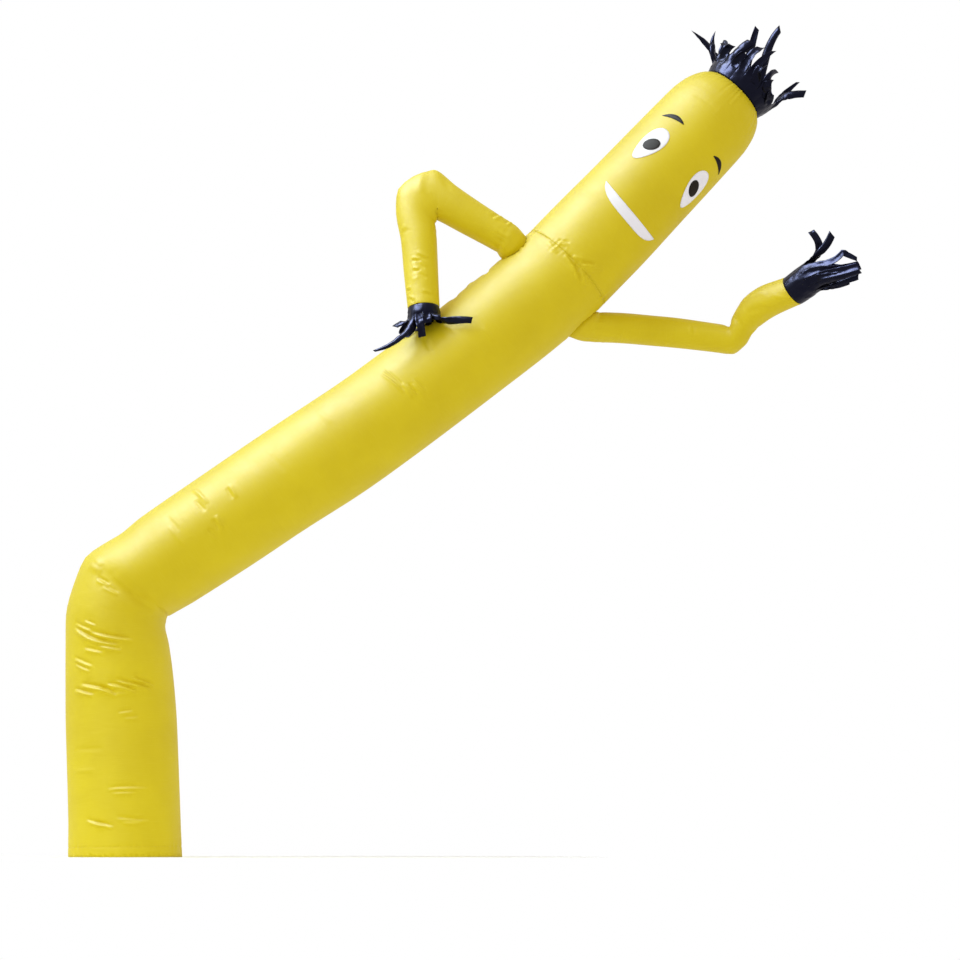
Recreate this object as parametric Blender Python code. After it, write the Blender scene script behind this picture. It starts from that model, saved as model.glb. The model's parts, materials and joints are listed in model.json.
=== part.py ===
"""Inflatable air dancer: a thin nylon tube figure as it stands while a blower fills it.

The figure leans to its left: an upright leg, a pinched knee, a long slanted body, a head with a sewn-on face,
two sleeves with fringed black hands, and a black hair fringe round the open crown.  Every piece of cloth is one
closed shell of its own.  Metres, +Z up, +X to the viewer's right, -Y towards the viewer.
The origin is the centre of the open hem, which slips over the blower's outlet.
"""

import math
from collections import namedtuple

import bmesh
import bpy
from mathutils import Vector

# ---- driving dimensions -------------------------------------------------------------------------------------
HEM_DIAMETER = 0.457
CLOTH = 0.002             # thickness of every yellow cloth wall
TRIM_CLOTH = 0.0016       # thickness of the fringes
PATCH_CLOTH = 0.001       # thickness of the face patches
SEAM_GAP = 0.0003         # space between two pieces that are sewn edge to edge
FRINGE_GAP = 0.0006       # the same, where a fringe is sewn to an edge
PATCH_LIFT = 0.0006       # space under a face patch
SLEEVE_LIFT = 0.0012      # space between a sleeve's sewn edge and the faceted body
TUBE_SIDES = 24
SLEEVE_SIDES = 16
LONGEST_RING_STEP = 0.15
PATH_SAMPLING = 0.02      # spacing of the sections looked at to find the one nearest to a point
SHARP_EDGE = 40.0         # degrees between faces, above which an edge is shaded sharp

BODY_RADIUS = HEM_DIAMETER / 2

# A section of a tube: its centre, the way the tube heads there (degrees from +X towards +Z), how far it turns
# towards the viewer (degrees), and half its width across the X-Z plane and half its depth towards the viewer.
Section = namedtuple("Section", "x y z heading toward half_width half_depth")

BODY_SECTIONS = (
    #       x       y    z      heading toward width  depth
    Section(0.000, 0.0, 0.000, 90.0, 0.0, BODY_RADIUS, BODY_RADIUS),
    Section(-0.006, 0.0, 0.140, 92.0, 0.0, 0.2260, 0.2280),
    Section(-0.014, 0.0, 0.276, 93.0, 0.0, 0.2255, 0.2280),
    Section(-0.029, 0.0, 0.519, 93.0, 0.0, 0.2245, 0.2290),
    Section(-0.043, 0.0, 0.715, 92.0, 0.0, 0.2180, 0.2350),
    Section(-0.055, 0.0, 0.863, 90.0, 0.0, 0.2090, 0.2430),
    Section(-0.064, 0.0, 0.955, 85.0, 0.0, 0.2020, 0.2490),
    Section(-0.048, 0.0, 1.034, 68.3, 0.0, 0.2020, 0.2500),
    Section(-0.024, 0.0, 1.097, 53.6, 0.0, 0.2070, 0.2470),
    Section(0.004, 0.0, 1.121, 45.7, 0.0, 0.1990, 0.2500),
    Section(0.050, 0.0, 1.147, 34.0, 0.0, 0.1950, 0.2500),
    Section(0.145, 0.0, 1.214, 34.0, 0.0, 0.2045, 0.2430),
    Section(0.360, 0.0, 1.360, 34.0, 0.0, 0.2100, 0.2350),
    Section(0.565, 0.0, 1.501, 34.5, 0.0, 0.2130, 0.2300),
    Section(0.792, 0.0, 1.654, 34.5, 0.0, 0.2170, 0.2240),
    Section(1.024, 0.0, 1.817, 36.0, 0.0, 0.2135, 0.2220),
    Section(1.237, 0.0, 1.979, 37.5, 0.0, 0.2140, 0.2205),
    Section(1.404, 0.0, 2.110, 38.0, 0.0, 0.2150, 0.2195),
    Section(1.509, 0.0, 2.194, 39.0, 0.0, 0.2160, 0.2190),
    Section(1.623, 0.0, 2.288, 41.5, 0.0, 0.2165, 0.2190),
    Section(1.720, 0.0, 2.374, 44.0, 0.0, 0.2170, 0.2190),
    Section(1.801, 0.0, 2.452, 45.5, 0.0, 0.2180, 0.2190),
)

HEAD_SECTIONS = (
    BODY_SECTIONS[-1],
    Section(1.930, 0.0, 2.589, 46.8, 0.0, 0.2195, 0.2190),
    Section(2.084, 0.0, 2.753, 47.0, 0.0, 0.2155, 0.2160),
    Section(2.326, 0.0, 3.013, 47.2, 0.0, 0.2095, 0.2110),
    Section(2.405, 0.0, 3.098, 47.2, 0.0, 0.2065, 0.2080),
    Section(2.446, 0.0, 3.142, 47.2, 0.0, 0.1970, 0.1990),
    Section(2.478, 0.0, 3.176, 47.2, 0.0, 0.1810, 0.1830),
    Section(2.499, 0.0, 3.199, 47.2, 0.0, 0.1620, 0.1640),
    Section(2.512, 0.0, 3.213, 47.2, 0.0, 0.1420, 0.1440),
)

# Shallow troughs in the body's cloth, where the slack side folds: where they lie along the body (metres of
# path from the hem), round it (degrees from the viewer's side towards the lower right), depth and reach.
Trough = namedtuple("Trough", "station angle depth half_length half_angle")

BODY_TROUGHS = (
    Trough(2.920, -90.0, 0.032, 0.050, 38.0),
    Trough(3.105, -88.0, 0.036, 0.055, 34.0),
)

LEFT_SLEEVE_SECTIONS = (
    #       x      y       z      heading toward width  depth
    Section(1.543, -0.085, 2.560, 149.0, 8.0, 0.0665, 0.0740),
    Section(1.379, -0.110, 2.653, 152.0, 7.0, 0.0765, 0.0740),
    Section(1.287, -0.125, 2.706, 154.0, 7.0, 0.0850, 0.0700),
    Section(1.243, -0.130, 2.729, 185.5, 5.0, 0.1080, 0.0660),
    Section(1.199, -0.134, 2.712, 207.6, 4.0, 0.1100, 0.0640),
    Section(1.168, -0.137, 2.678, 226.5, 4.0, 0.1090, 0.0640),
    Section(1.166, -0.140, 2.638, 238.0, 4.0, 0.0990, 0.0660),
    Section(1.179, -0.145, 2.536, 268.0, 5.0, 0.0755, 0.0740),
    Section(1.190, -0.160, 2.382, 273.0, 6.0, 0.0705, 0.0700),
    Section(1.201, -0.180, 2.235, 273.5, 7.0, 0.0655, 0.0665),
)

RIGHT_SLEEVE_SECTIONS = (
    #       x      y       z      heading toward width  depth
    Section(1.910, 0.085, 2.219, -22.0, -14.0, 0.0680, 0.0730),
    Section(1.996, 0.104, 2.220, -9.0, -6.0, 0.0655, 0.0720),
    Section(2.201, 0.118, 2.207, -7.0, -2.0, 0.0655, 0.0700),
    Section(2.434, 0.112, 2.178, -6.0, 2.0, 0.0610, 0.0700),
    Section(2.504, 0.106, 2.168, 5.0, 12.0, 0.0600, 0.0700),
    Section(2.530, 0.090, 2.192, 32.0, 22.0, 0.0570, 0.0700),
    Section(2.552, 0.070, 2.235, 42.0, 30.0, 0.0560, 0.0690),
    Section(2.592, 0.028, 2.277, 32.0, 34.0, 0.0680, 0.0660),
    Section(2.653, -0.026, 2.309, 30.0, 35.0, 0.0700, 0.0665),
    Section(2.742, -0.088, 2.332, 31.0, 35.0, 0.0655, 0.0665),
)

# Where the sleeves are sewn in: path distance below the shoulder seam, and the angle round the body.
SLEEVE_STATION_BELOW_SEAM = 0.112
SLEEVE_RADIUS = 0.074
CUTTER_REACH = 0.06       # how far the cutter of a sleeve hole stands in and out of the body
LEFT_SLEEVE_ANGLE = -73.0
RIGHT_SLEEVE_ANGLE = 107.0

# A fringe strip: where it starts round the ring (degrees), and its tip, measured from the ring's centre
# across (the ring's width direction), towards the viewer, and along the tube, with its width at the tip.
Strip = namedtuple("Strip", "angle tip_across tip_toward tip_along tip_width")

HAIR_BAND = 0.030
HAIR_FLARE = 1.10
HAIR_STRIPS = (
    Strip(-172.0, -0.120, -0.215, 0.215, 0.030),
    Strip(-142.0, -0.205, -0.130, 0.185, 0.030),
    Strip(-112.0, -0.262, -0.075, 0.130, 0.028),
    Strip(-82.0, -0.292, 0.030, 0.092, 0.030),
    Strip(-52.0, -0.190, 0.125, 0.140, 0.030),
    Strip(-24.0, -0.098, 0.175, 0.285, 0.030),
    Strip(4.0, 0.012, 0.195, 0.262, 0.032),
    Strip(34.0, 0.085, 0.160, 0.212, 0.030),
    Strip(66.0, 0.222, 0.100, 0.205, 0.040),
    Strip(98.0, 0.178, -0.030, 0.235, 0.030),
    Strip(128.0, 0.110, -0.120, 0.225, 0.030),
    Strip(158.0, -0.030, -0.150, 0.345, 0.030),
)

RIGHT_HAND_BAND = 0.090
RIGHT_HAND_FLARE = 1.02
RIGHT_HAND_STRIPS = (
    Strip(-170.0, -0.095, -0.060, 0.235, 0.026),
    Strip(-112.0, -0.165, -0.020, 0.230, 0.030),
    Strip(-58.0, -0.115, 0.030, 0.290, 0.030),
    Strip(-8.0, -0.030, 0.050, 0.305, 0.034),
    Strip(42.0, 0.072, 0.040, 0.325, 0.036),
    Strip(92.0, 0.090, 0.000, 0.280, 0.034),
    Strip(142.0, 0.075, -0.050, 0.300, 0.030),
)

LEFT_HAND_BAND = 0.034
LEFT_HAND_FLARE = 1.04
LEFT_HAND_STRIPS = (
    Strip(-165.0, -0.020, -0.120, 0.120, 0.028),
    Strip(-112.0, -0.090, -0.080, 0.070, 0.028),
    Strip(-62.0, -0.199, 0.050, 0.075, 0.028),
    Strip(-12.0, 0.005, 0.020, 0.122, 0.034),
    Strip(40.0, 0.120, 0.020, 0.096, 0.030),
    Strip(92.0, 0.205, 0.080, 0.175, 0.014),
    Strip(142.0, 0.100, -0.030, 0.150, 0.028),
)
REST_CLEARANCE = 0.009    # the left hand's strips lie on the body with this much room
STRIP_FILL = 0.80         # share of its slot that a strip takes where it leaves the band
STRIP_STEPS = 6
STRIP_BEND = 0.45         # share of its length over which a strip leaves the band straight before it curves
STRIP_TAPER_END = 2 / 3   # share of its length at which a strip has reached its tip's width

# The face, in metres along the head from the shoulder seam and degrees round it from the face's middle.
FACE_TURN = 17.0
EYE_STATION = 0.588
EYE_ANGLE = 39.0
EYE_LENGTH = 0.184
EYE_WIDTH = 0.098
EYE_LEAN = 9.0
EYE_POINT = 0.28          # how much narrower an eye is at its lower end
PUPIL_STATION = 0.589
PUPIL_ANGLE = 37.0
PUPIL_LENGTH = 0.074
PUPIL_WIDTH = 0.054
PUPIL_LEAN = 47.0
BROW_STATION = 0.744
BROW_INNER = 26.0
BROW_OUTER = 55.0
BROW_RISE = 0.022
BROW_DROP = 0.018
BROW_THICKNESS = 0.018
MOUTH_STATION = 0.317
MOUTH_HALF_ANGLE = 46.0
MOUTH_RISE = 0.0165       # how far both ends of its upper edge rise above the middle
MOUTH_TILT = 0.0125       # how much more the left end rises than the middle
MOUTH_THICKNESS = 0.043
MOUTH_FULLNESS = 0.8      # below 1 makes the mouth's ends rounder
EYE_COLUMNS = 11
PUPIL_COLUMNS = 9
BROW_COLUMNS = 9
MOUTH_COLUMNS = 15
OVAL_ROWS = 5
OVAL_END_INSET = 0.35     # share of a column by which an oval's end columns lie inside its tips
PATCH_CORNER = 0.003      # how wide a pointed patch still is at its tips

Colour = namedtuple("Colour", "name rgb roughness")
YELLOW_NYLON = Colour("yellow_nylon", (0.80, 0.66, 0.04), 0.45)
BLACK_NYLON = Colour("black_nylon", (0.012, 0.013, 0.022), 0.35)
WHITE_NYLON = Colour("white_nylon", (0.82, 0.82, 0.80), 0.5)


# ---- smooth tables --------------------------------------------------------------------------------------------
def slopes(knots, values):
    """Slopes of a smooth curve through the values that never overshoots them."""
    steps = [(values[i + 1] - values[i]) / (knots[i + 1] - knots[i]) for i in range(len(knots) - 1)]
    result = [steps[0]]
    for before, after in zip(steps, steps[1:]):
        result.append(2 * before * after / (before + after) if before * after > 0 else 0.0)
    result.append(steps[-1])
    return result


class SmoothTable:
    """A table of sections read at any path distance from its first row."""

    def __init__(self, rows):
        self.rows = rows
        self.knots = [0.0]
        for before, after in zip(rows, rows[1:]):
            self.knots.append(self.knots[-1] + (Vector(after[:3]) - Vector(before[:3])).length)
        self.columns = [[row[column] for row in rows] for column in range(len(rows[0]))]
        self.slopes = [slopes(self.knots, column) for column in self.columns]
        self.length = self.knots[-1]

    def at(self, station):
        """The section at a path distance."""
        span = 0
        while span < len(self.knots) - 2 and station > self.knots[span + 1]:
            span += 1
        width = self.knots[span + 1] - self.knots[span]
        t = (station - self.knots[span]) / width
        values = []
        for column, slope in zip(self.columns, self.slopes):
            value = column[span] * (2 * t ** 3 - 3 * t ** 2 + 1) + column[span + 1] * (3 * t ** 2 - 2 * t ** 3)
            value += width * (slope[span] * (t ** 3 - 2 * t ** 2 + t) + slope[span + 1] * (t ** 3 - t ** 2))
            values.append(value)
        return Section(*values)

    def stations(self, start=0.0, end_gap=0.0, extra=()):
        """Ring stations: every row, evenly split where rows are far apart, and any extra ones."""
        result = [start]
        knots = sorted(set(self.knots[1:-1]) | set(extra)) + [self.length - end_gap]
        for knot in knots:
            reach = knot - result[-1]
            parts = max(1, math.ceil(reach / LONGEST_RING_STEP))
            first = result[-1]
            result += [first + reach * (i + 1) / parts for i in range(parts)]
        return result


def axes(section):
    """Centre of a section and its three directions: across, towards the viewer, and along the tube."""
    heading = math.radians(section.heading)
    toward = math.radians(section.toward)
    flat_along = Vector((math.cos(heading), 0.0, math.sin(heading)))
    across = Vector((math.sin(heading), 0.0, -math.cos(heading)))
    viewer = Vector((0.0, -1.0, 0.0))
    along = flat_along * math.cos(toward) + viewer * math.sin(toward)
    front = viewer * math.cos(toward) - flat_along * math.sin(toward)
    return Vector(section[:3]), across, front, along


def trough_depth(troughs, station, angle):
    """How far the cloth sinks at a point, from all troughs together."""
    depth = 0.0
    for trough in troughs:
        lengthways = (station - trough.station) / trough.half_length
        round_it = (angle - trough.angle) / trough.half_angle
        depth += trough.depth * math.exp(-lengthways ** 2 - round_it ** 2)
    return depth


def skin_point(table, station, angle, lift=0.0, troughs=()):
    """A point on a tube's skin, `angle` degrees from the viewer's side towards the across direction."""
    section = table.at(station)
    centre, across, front, _ = axes(section)
    turn = math.radians(angle)
    wrapped = (angle + 180.0) % 360.0 - 180.0
    lift -= trough_depth(troughs, station, wrapped)
    return (
        centre
        + across * (section.half_width + lift) * math.sin(turn)
        + front * (section.half_depth + lift) * math.cos(turn)
    )


def lift_clear(body, point, clearance):
    """Move a point outwards until it clears the body's skin."""
    steps = round(body.length / PATH_SAMPLING)
    sections = [body.at(body.length * i / steps) for i in range(steps + 1)]
    nearest = min(sections, key=lambda section: (point - Vector(section[:3])).length)
    centre, across, front, along = axes(nearest)
    offset = point - centre
    if abs(offset.dot(along)) > BODY_RADIUS / 4:
        return point
    sideways, forwards = offset.dot(across), offset.dot(front)
    ratio = math.hypot(sideways / (nearest.half_width + clearance), forwards / (nearest.half_depth + clearance))
    if ratio >= 1.0:
        return point
    return point + (across * sideways + front * forwards) * (1.0 / ratio - 1.0)


# ---- mesh helpers ----------------------------------------------------------------------------------------------
def clear_scene():
    """Empty the scene that Blender starts with."""
    for item in list(bpy.data.objects):
        bpy.data.objects.remove(item, do_unlink=True)


def material(colour):
    """The material of a cloth, made once."""
    found = bpy.data.materials.get(colour.name)
    if found:
        return found
    made = bpy.data.materials.new(colour.name)
    made.use_nodes = True
    shader = made.node_tree.nodes["Principled BSDF"]
    shader.inputs["Base Color"].default_value = (*colour.rgb, 1.0)
    shader.inputs["Roughness"].default_value = colour.roughness
    shader.inputs["Metallic"].default_value = 0.0
    made.diffuse_color = (*colour.rgb, 1.0)
    return made


def add_object(name, bm, colour):
    """Put a finished bmesh into the scene as one smooth-shaded object."""
    bmesh.ops.recalc_face_normals(bm, faces=bm.faces)
    mesh = bpy.data.meshes.new(name)
    bm.to_mesh(mesh)
    bm.free()
    mesh.materials.append(material(colour))
    mesh.shade_smooth()
    mesh.set_sharp_from_angle(angle=math.radians(SHARP_EDGE))
    made = bpy.data.objects.new(name, mesh)
    bpy.context.scene.collection.objects.link(made)
    return made


def bridge(bm, ring_a, ring_b):
    """Join two closed rings of vertices with a band of quads."""
    count = len(ring_a)
    for i in range(count):
        j = (i + 1) % count
        bm.faces.new((ring_a[i], ring_a[j], ring_b[j], ring_b[i]))


def shell_from_rings(name, outer_rings, inner_rings, colour):
    """A tube wall that is open at both ends: outer skin, inner skin and the two cut edges."""
    bm = bmesh.new()
    outer = [[bm.verts.new(point) for point in ring] for ring in outer_rings]
    inner = [[bm.verts.new(point) for point in ring] for ring in inner_rings]
    for rings in (outer, inner):
        for ring_a, ring_b in zip(rings, rings[1:]):
            bridge(bm, ring_a, ring_b)
    bridge(bm, outer[0], inner[0])
    bridge(bm, outer[-1], inner[-1])
    return add_object(name, bm, colour)


# ---- the big tubes ---------------------------------------------------------------------------------------------
def ring_angles(count):
    """Evenly spaced angles round a ring, in degrees."""
    return [360.0 * i / count for i in range(count)]


def tube_rings(table, stations, sides, lift, troughs=()):
    """Rings of points on a tube's skin."""
    return [[skin_point(table, s, angle, lift, troughs) for angle in ring_angles(sides)] for s in stations]


def build_body(body):
    """The leg, knee and body: one tube of cloth from the hem to the shoulder seam."""
    near_troughs = [t.station + side * t.half_length for t in BODY_TROUGHS for side in (-1.6, -0.8, 0.0, 0.8, 1.6)]
    stations = body.stations(extra=near_troughs)
    outer = tube_rings(body, stations, TUBE_SIDES, 0.0, BODY_TROUGHS)
    inner = tube_rings(body, stations, TUBE_SIDES, -CLOTH, BODY_TROUGHS)
    tube = shell_from_rings("body_tube", outer, inner, YELLOW_NYLON)
    for name, angle in (("left", LEFT_SLEEVE_ANGLE), ("right", RIGHT_SLEEVE_ANGLE)):
        cut_sleeve_hole(tube, body, name, angle)


def cut_sleeve_hole(tube, body, name, angle):
    """Cut the hole through which air passes from the body into a sleeve."""
    station = body.length - SLEEVE_STATION_BELOW_SEAM
    middle = skin_point(body, station, angle)
    centre, _, _, along = axes(body.at(station))
    outwards = (middle - centre).normalized()
    sideways = along.cross(outwards)
    radius = SLEEVE_RADIUS - 4 * CLOTH
    bm = bmesh.new()
    rings = []
    for reach in (-CUTTER_REACH, CUTTER_REACH):
        ring = []
        for turn in ring_angles(SLEEVE_SIDES):
            a = math.radians(turn)
            ring.append(bm.verts.new(
                middle + outwards * reach + along * radius * math.cos(a) + sideways * radius * math.sin(a)))
        rings.append(ring)
    bridge(bm, *rings)
    for ring in rings:
        bm.faces.new(ring)
    cutter = add_object(f"sleeve_hole_cutter_{name}", bm, YELLOW_NYLON)
    cutter.hide_render = True
    cutter.display_type = "WIRE"
    cut = tube.modifiers.new(f"sleeve_hole_{name}", "BOOLEAN")
    cut.operation = "DIFFERENCE"
    cut.object = cutter


def build_head(head):
    """The head: a tube of cloth from the shoulder seam to the gathered, open crown."""
    stations = head.stations(start=SEAM_GAP)
    outer = tube_rings(head, stations, TUBE_SIDES, 0.0)
    inner = tube_rings(head, stations, TUBE_SIDES, -CLOTH)
    shell_from_rings("head_tube", outer, inner, YELLOW_NYLON)


# ---- sleeves ---------------------------------------------------------------------------------------------------
def sewn_ring(body, angle, side, lift, radius):
    """The sleeve's first ring, which follows the body's round surface.

    `side` is -1 where the ring's angles run towards the hem side of the body first, as on the right sleeve.
    """
    station = body.length - SLEEVE_STATION_BELOW_SEAM
    points = []
    for turn in ring_angles(SLEEVE_SIDES):
        a = math.radians(turn)
        along = side * radius * math.sin(a)
        around = side * math.degrees(radius * math.cos(a) / BODY_SECTIONS[-1].half_width)
        points.append(skin_point(body, station + along, angle + around, lift))
    return points


def build_sleeve(name, body, sections, angle, side):
    """One sleeve: an open tube from its sewn edge on the body to its wrist.  Returns its table."""
    table = SmoothTable(sections)
    stations = table.stations()
    outer = [sewn_ring(body, angle, side, SLEEVE_LIFT, SLEEVE_RADIUS)]
    inner = [sewn_ring(body, angle, side, SLEEVE_LIFT, SLEEVE_RADIUS - CLOTH)]
    outer += tube_rings(table, stations, SLEEVE_SIDES, 0.0)
    inner += tube_rings(table, stations, SLEEVE_SIDES, -CLOTH)
    shell_from_rings(name, outer, inner, YELLOW_NYLON)
    return table


# ---- fringes ---------------------------------------------------------------------------------------------------
def build_fringe(name, section, band, flare, strips, rests_on):
    """A fringe: a closed band with cut strips on its far edge, all one piece of cloth.

    The band starts FRINGE_GAP beyond the section.  Each strip leaves the band along the tube and curves to
    its own tip, or lies on the tube it rests on.
    """
    centre, across, front, along = axes(section)
    half_width = section.half_width - CLOTH / 2
    half_depth = section.half_depth - CLOTH / 2
    slot = 360.0 / len(strips)

    def band_point(angle, scale, reach):
        turn = math.radians(angle)
        return (centre + along * reach
                + across * half_width * scale * math.sin(turn)
                + front * half_depth * scale * math.cos(turn))

    bm = bmesh.new()
    edge_angles = []
    for strip in strips:
        half = slot * STRIP_FILL / 2
        edge_angles += [strip.angle - half, strip.angle + half]
    rings = []
    for scale, reach in ((1.0, FRINGE_GAP), (flare, FRINGE_GAP + band)):
        points = [band_point(angle, scale, reach) for angle in edge_angles]
        rings.append([bm.verts.new(lift_clear(rests_on, point, REST_CLEARANCE)) for point in points])
    bridge(bm, *rings)
    for index, strip in enumerate(strips):
        left, right = rings[-1][2 * index], rings[-1][2 * index + 1]
        start = (left.co + right.co) / 2
        side = (right.co - left.co).normalized()
        root_width = (right.co - left.co).length
        tip = centre + across * strip.tip_across + front * strip.tip_toward + along * strip.tip_along
        bend = start + along * (tip - start).length * STRIP_BEND
        for step in range(1, STRIP_STEPS + 1):
            t = step / STRIP_STEPS
            middle = start * (1 - t) ** 2 + bend * 2 * t * (1 - t) + tip * t ** 2
            half = side * (root_width + (strip.tip_width - root_width) * min(1.0, t / STRIP_TAPER_END)) / 2
            new_left = bm.verts.new(lift_clear(rests_on, middle - half, REST_CLEARANCE))
            new_right = bm.verts.new(lift_clear(rests_on, middle + half, REST_CLEARANCE))
            bm.faces.new((left, right, new_right, new_left))
            left, right = new_left, new_right
    fringe = add_object(name, bm, BLACK_NYLON)
    wall = fringe.modifiers.new("cloth_thickness", "SOLIDIFY")
    wall.thickness = TRIM_CLOTH
    wall.offset = 0.0
    wall.use_rim = True


# ---- face patches ----------------------------------------------------------------------------------------------
def patch_from_rows(name, head, rows, lift, colour):
    """A thin patch that follows the head: rows of (station, angle) points, each row as long as the others."""
    bm = bmesh.new()
    layers = []
    for height in (lift, lift + PATCH_CLOTH):
        layers.append([[bm.verts.new(skin_point(head, s, FACE_TURN + a, height)) for s, a in row] for row in rows])
    bottom, top = layers
    for layer in layers:
        for row_a, row_b in zip(layer, layer[1:]):
            for i in range(len(row_a) - 1):
                bm.faces.new((row_a[i], row_a[i + 1], row_b[i + 1], row_b[i]))
    count, width = len(rows), len(rows[0])
    rim = [(0, i) for i in range(width)] + [(j, width - 1) for j in range(1, count)]
    rim += [(count - 1, i) for i in range(width - 2, -1, -1)] + [(j, 0) for j in range(count - 2, 0, -1)]
    for (a, b), (c, d) in zip(rim, rim[1:] + rim[:1]):
        bm.faces.new((bottom[a][b], bottom[c][d], top[c][d], top[a][b]))
    return add_object(name, bm, colour)


def degrees_round_head(distance):
    """Angle that a distance round the head takes."""
    return math.degrees(distance / HEAD_SECTIONS[2].half_width)


def oval_rows(station, angle, length, width, lean, point, columns):
    """Rows across an oval patch: `point` above 0 draws its lower end in, as on an eye."""
    rows = []
    tilt = math.radians(lean)
    for j in range(OVAL_ROWS):
        across = 2 * j / (OVAL_ROWS - 1) - 1
        row = []
        for i in range(columns):
            t = -math.cos(math.pi * (i + OVAL_END_INSET) / (columns - 1 + 2 * OVAL_END_INSET))
            half = math.sqrt(1 - t * t) * (1 + point * t) / 2
            x = across * width * half
            y = t * length / 2
            row.append((station + y * math.cos(tilt) - x * math.sin(tilt),
                        angle + degrees_round_head(x * math.cos(tilt) + y * math.sin(tilt))))
        rows.append(row)
    return rows


def crescent_rows(angle_from, angle_to, upper, lower, columns):
    """Two rows along a crescent: `upper` and `lower` give the station of each edge for t from -1 to 1."""
    rows = []
    for edge in (upper, lower):
        row = []
        for i in range(columns):
            t = -1 + 2 * i / (columns - 1)
            row.append((edge(t), angle_from + (angle_to - angle_from) * (t + 1) / 2))
        rows.append(row)
    return rows


def build_face(head):
    """Eyes, pupils, brows and mouth, each cut from cloth and sewn to the head."""
    pupil_lift = 2 * PATCH_LIFT + PATCH_CLOTH
    for name, side in (("left", -1), ("right", 1)):
        eye = oval_rows(
            EYE_STATION, side * EYE_ANGLE, EYE_LENGTH, EYE_WIDTH, -side * EYE_LEAN, EYE_POINT, EYE_COLUMNS)
        patch_from_rows(f"eye_{name}", head, eye, PATCH_LIFT, WHITE_NYLON)
        pupil = oval_rows(
            PUPIL_STATION, side * PUPIL_ANGLE, PUPIL_LENGTH, PUPIL_WIDTH, -side * PUPIL_LEAN, 0.0, PUPIL_COLUMNS)
        patch_from_rows(f"pupil_{name}", head, pupil, pupil_lift, BLACK_NYLON)

        def brow_line(t):
            return BROW_STATION + BROW_RISE * (1 - t * t) - BROW_DROP * (t + 1) / 2

        def brow_lower(t):
            return brow_line(t) - PATCH_CORNER - BROW_THICKNESS * (1 - t * t)

        brow = crescent_rows(side * BROW_INNER, side * BROW_OUTER, brow_line, brow_lower, BROW_COLUMNS)
        patch_from_rows(f"brow_{name}", head, brow, PATCH_LIFT, BLACK_NYLON)

    def mouth_upper(t):
        return MOUTH_STATION + MOUTH_RISE * t * t - MOUTH_TILT * t

    def mouth_lower(t):
        return mouth_upper(t) - PATCH_CORNER - MOUTH_THICKNESS * (1 - t ** 4) ** MOUTH_FULLNESS

    mouth = crescent_rows(-MOUTH_HALF_ANGLE, MOUTH_HALF_ANGLE, mouth_upper, mouth_lower, MOUTH_COLUMNS)
    patch_from_rows("mouth", head, mouth, PATCH_LIFT, WHITE_NYLON)


def main():
    """Build every piece of the figure."""
    clear_scene()
    body = SmoothTable(BODY_SECTIONS)
    head = SmoothTable(HEAD_SECTIONS)
    build_body(body)
    build_head(head)
    left = build_sleeve("sleeve_left", body, LEFT_SLEEVE_SECTIONS, LEFT_SLEEVE_ANGLE, 1)
    right = build_sleeve("sleeve_right", body, RIGHT_SLEEVE_SECTIONS, RIGHT_SLEEVE_ANGLE, -1)
    for name, table, band, flare, strips in (
        ("hair_fringe", head, HAIR_BAND, HAIR_FLARE, HAIR_STRIPS),
        ("hand_left", left, LEFT_HAND_BAND, LEFT_HAND_FLARE, LEFT_HAND_STRIPS),
        ("hand_right", right, RIGHT_HAND_BAND, RIGHT_HAND_FLARE, RIGHT_HAND_STRIPS),
    ):
        build_fringe(name, table.at(table.length), band, flare, strips, body)
    build_face(head)


main()
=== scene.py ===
"""Looks of the inflatable air dancer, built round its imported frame.

A tube figure of thin yellow nylon, blown up by the air that a blower pushes into its open hem.  Every tube is
made the way it is sewn: the cloth is cut flat, given more mesh where it folds, rolled up, sewn down its back
and filled out to the form that its table of sections gives.  Metres, +Z up, +X to the viewer's right, -Y
towards the viewer.  Angles round a tube are in degrees from the viewer's side towards the tube's lower or
right side.
"""

import json
import logging
import math
import random
from dataclasses import dataclass, field
from enum import Enum
from typing import Callable, NamedTuple, Sequence

import bmesh
import bpy
import numpy as np
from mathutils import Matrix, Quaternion, Vector, noise

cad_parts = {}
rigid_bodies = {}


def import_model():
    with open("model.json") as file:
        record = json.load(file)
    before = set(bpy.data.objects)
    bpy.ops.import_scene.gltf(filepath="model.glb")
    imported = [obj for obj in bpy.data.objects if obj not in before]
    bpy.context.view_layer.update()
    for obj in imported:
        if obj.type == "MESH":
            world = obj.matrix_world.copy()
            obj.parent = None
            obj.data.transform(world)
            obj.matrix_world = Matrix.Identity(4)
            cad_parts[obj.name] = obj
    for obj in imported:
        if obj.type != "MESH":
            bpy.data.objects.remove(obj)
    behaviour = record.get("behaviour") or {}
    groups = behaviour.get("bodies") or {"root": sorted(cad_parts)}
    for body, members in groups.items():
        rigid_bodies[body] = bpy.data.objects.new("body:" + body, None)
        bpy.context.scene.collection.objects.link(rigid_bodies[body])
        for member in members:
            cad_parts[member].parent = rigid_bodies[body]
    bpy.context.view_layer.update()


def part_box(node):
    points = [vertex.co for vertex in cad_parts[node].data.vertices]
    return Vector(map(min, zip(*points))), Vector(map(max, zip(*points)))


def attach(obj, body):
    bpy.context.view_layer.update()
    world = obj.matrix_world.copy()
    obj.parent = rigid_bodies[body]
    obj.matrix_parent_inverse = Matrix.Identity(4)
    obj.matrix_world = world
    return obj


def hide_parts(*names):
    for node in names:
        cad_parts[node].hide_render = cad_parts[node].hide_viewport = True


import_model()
LOG = logging.getLogger("air_dancer")

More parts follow.
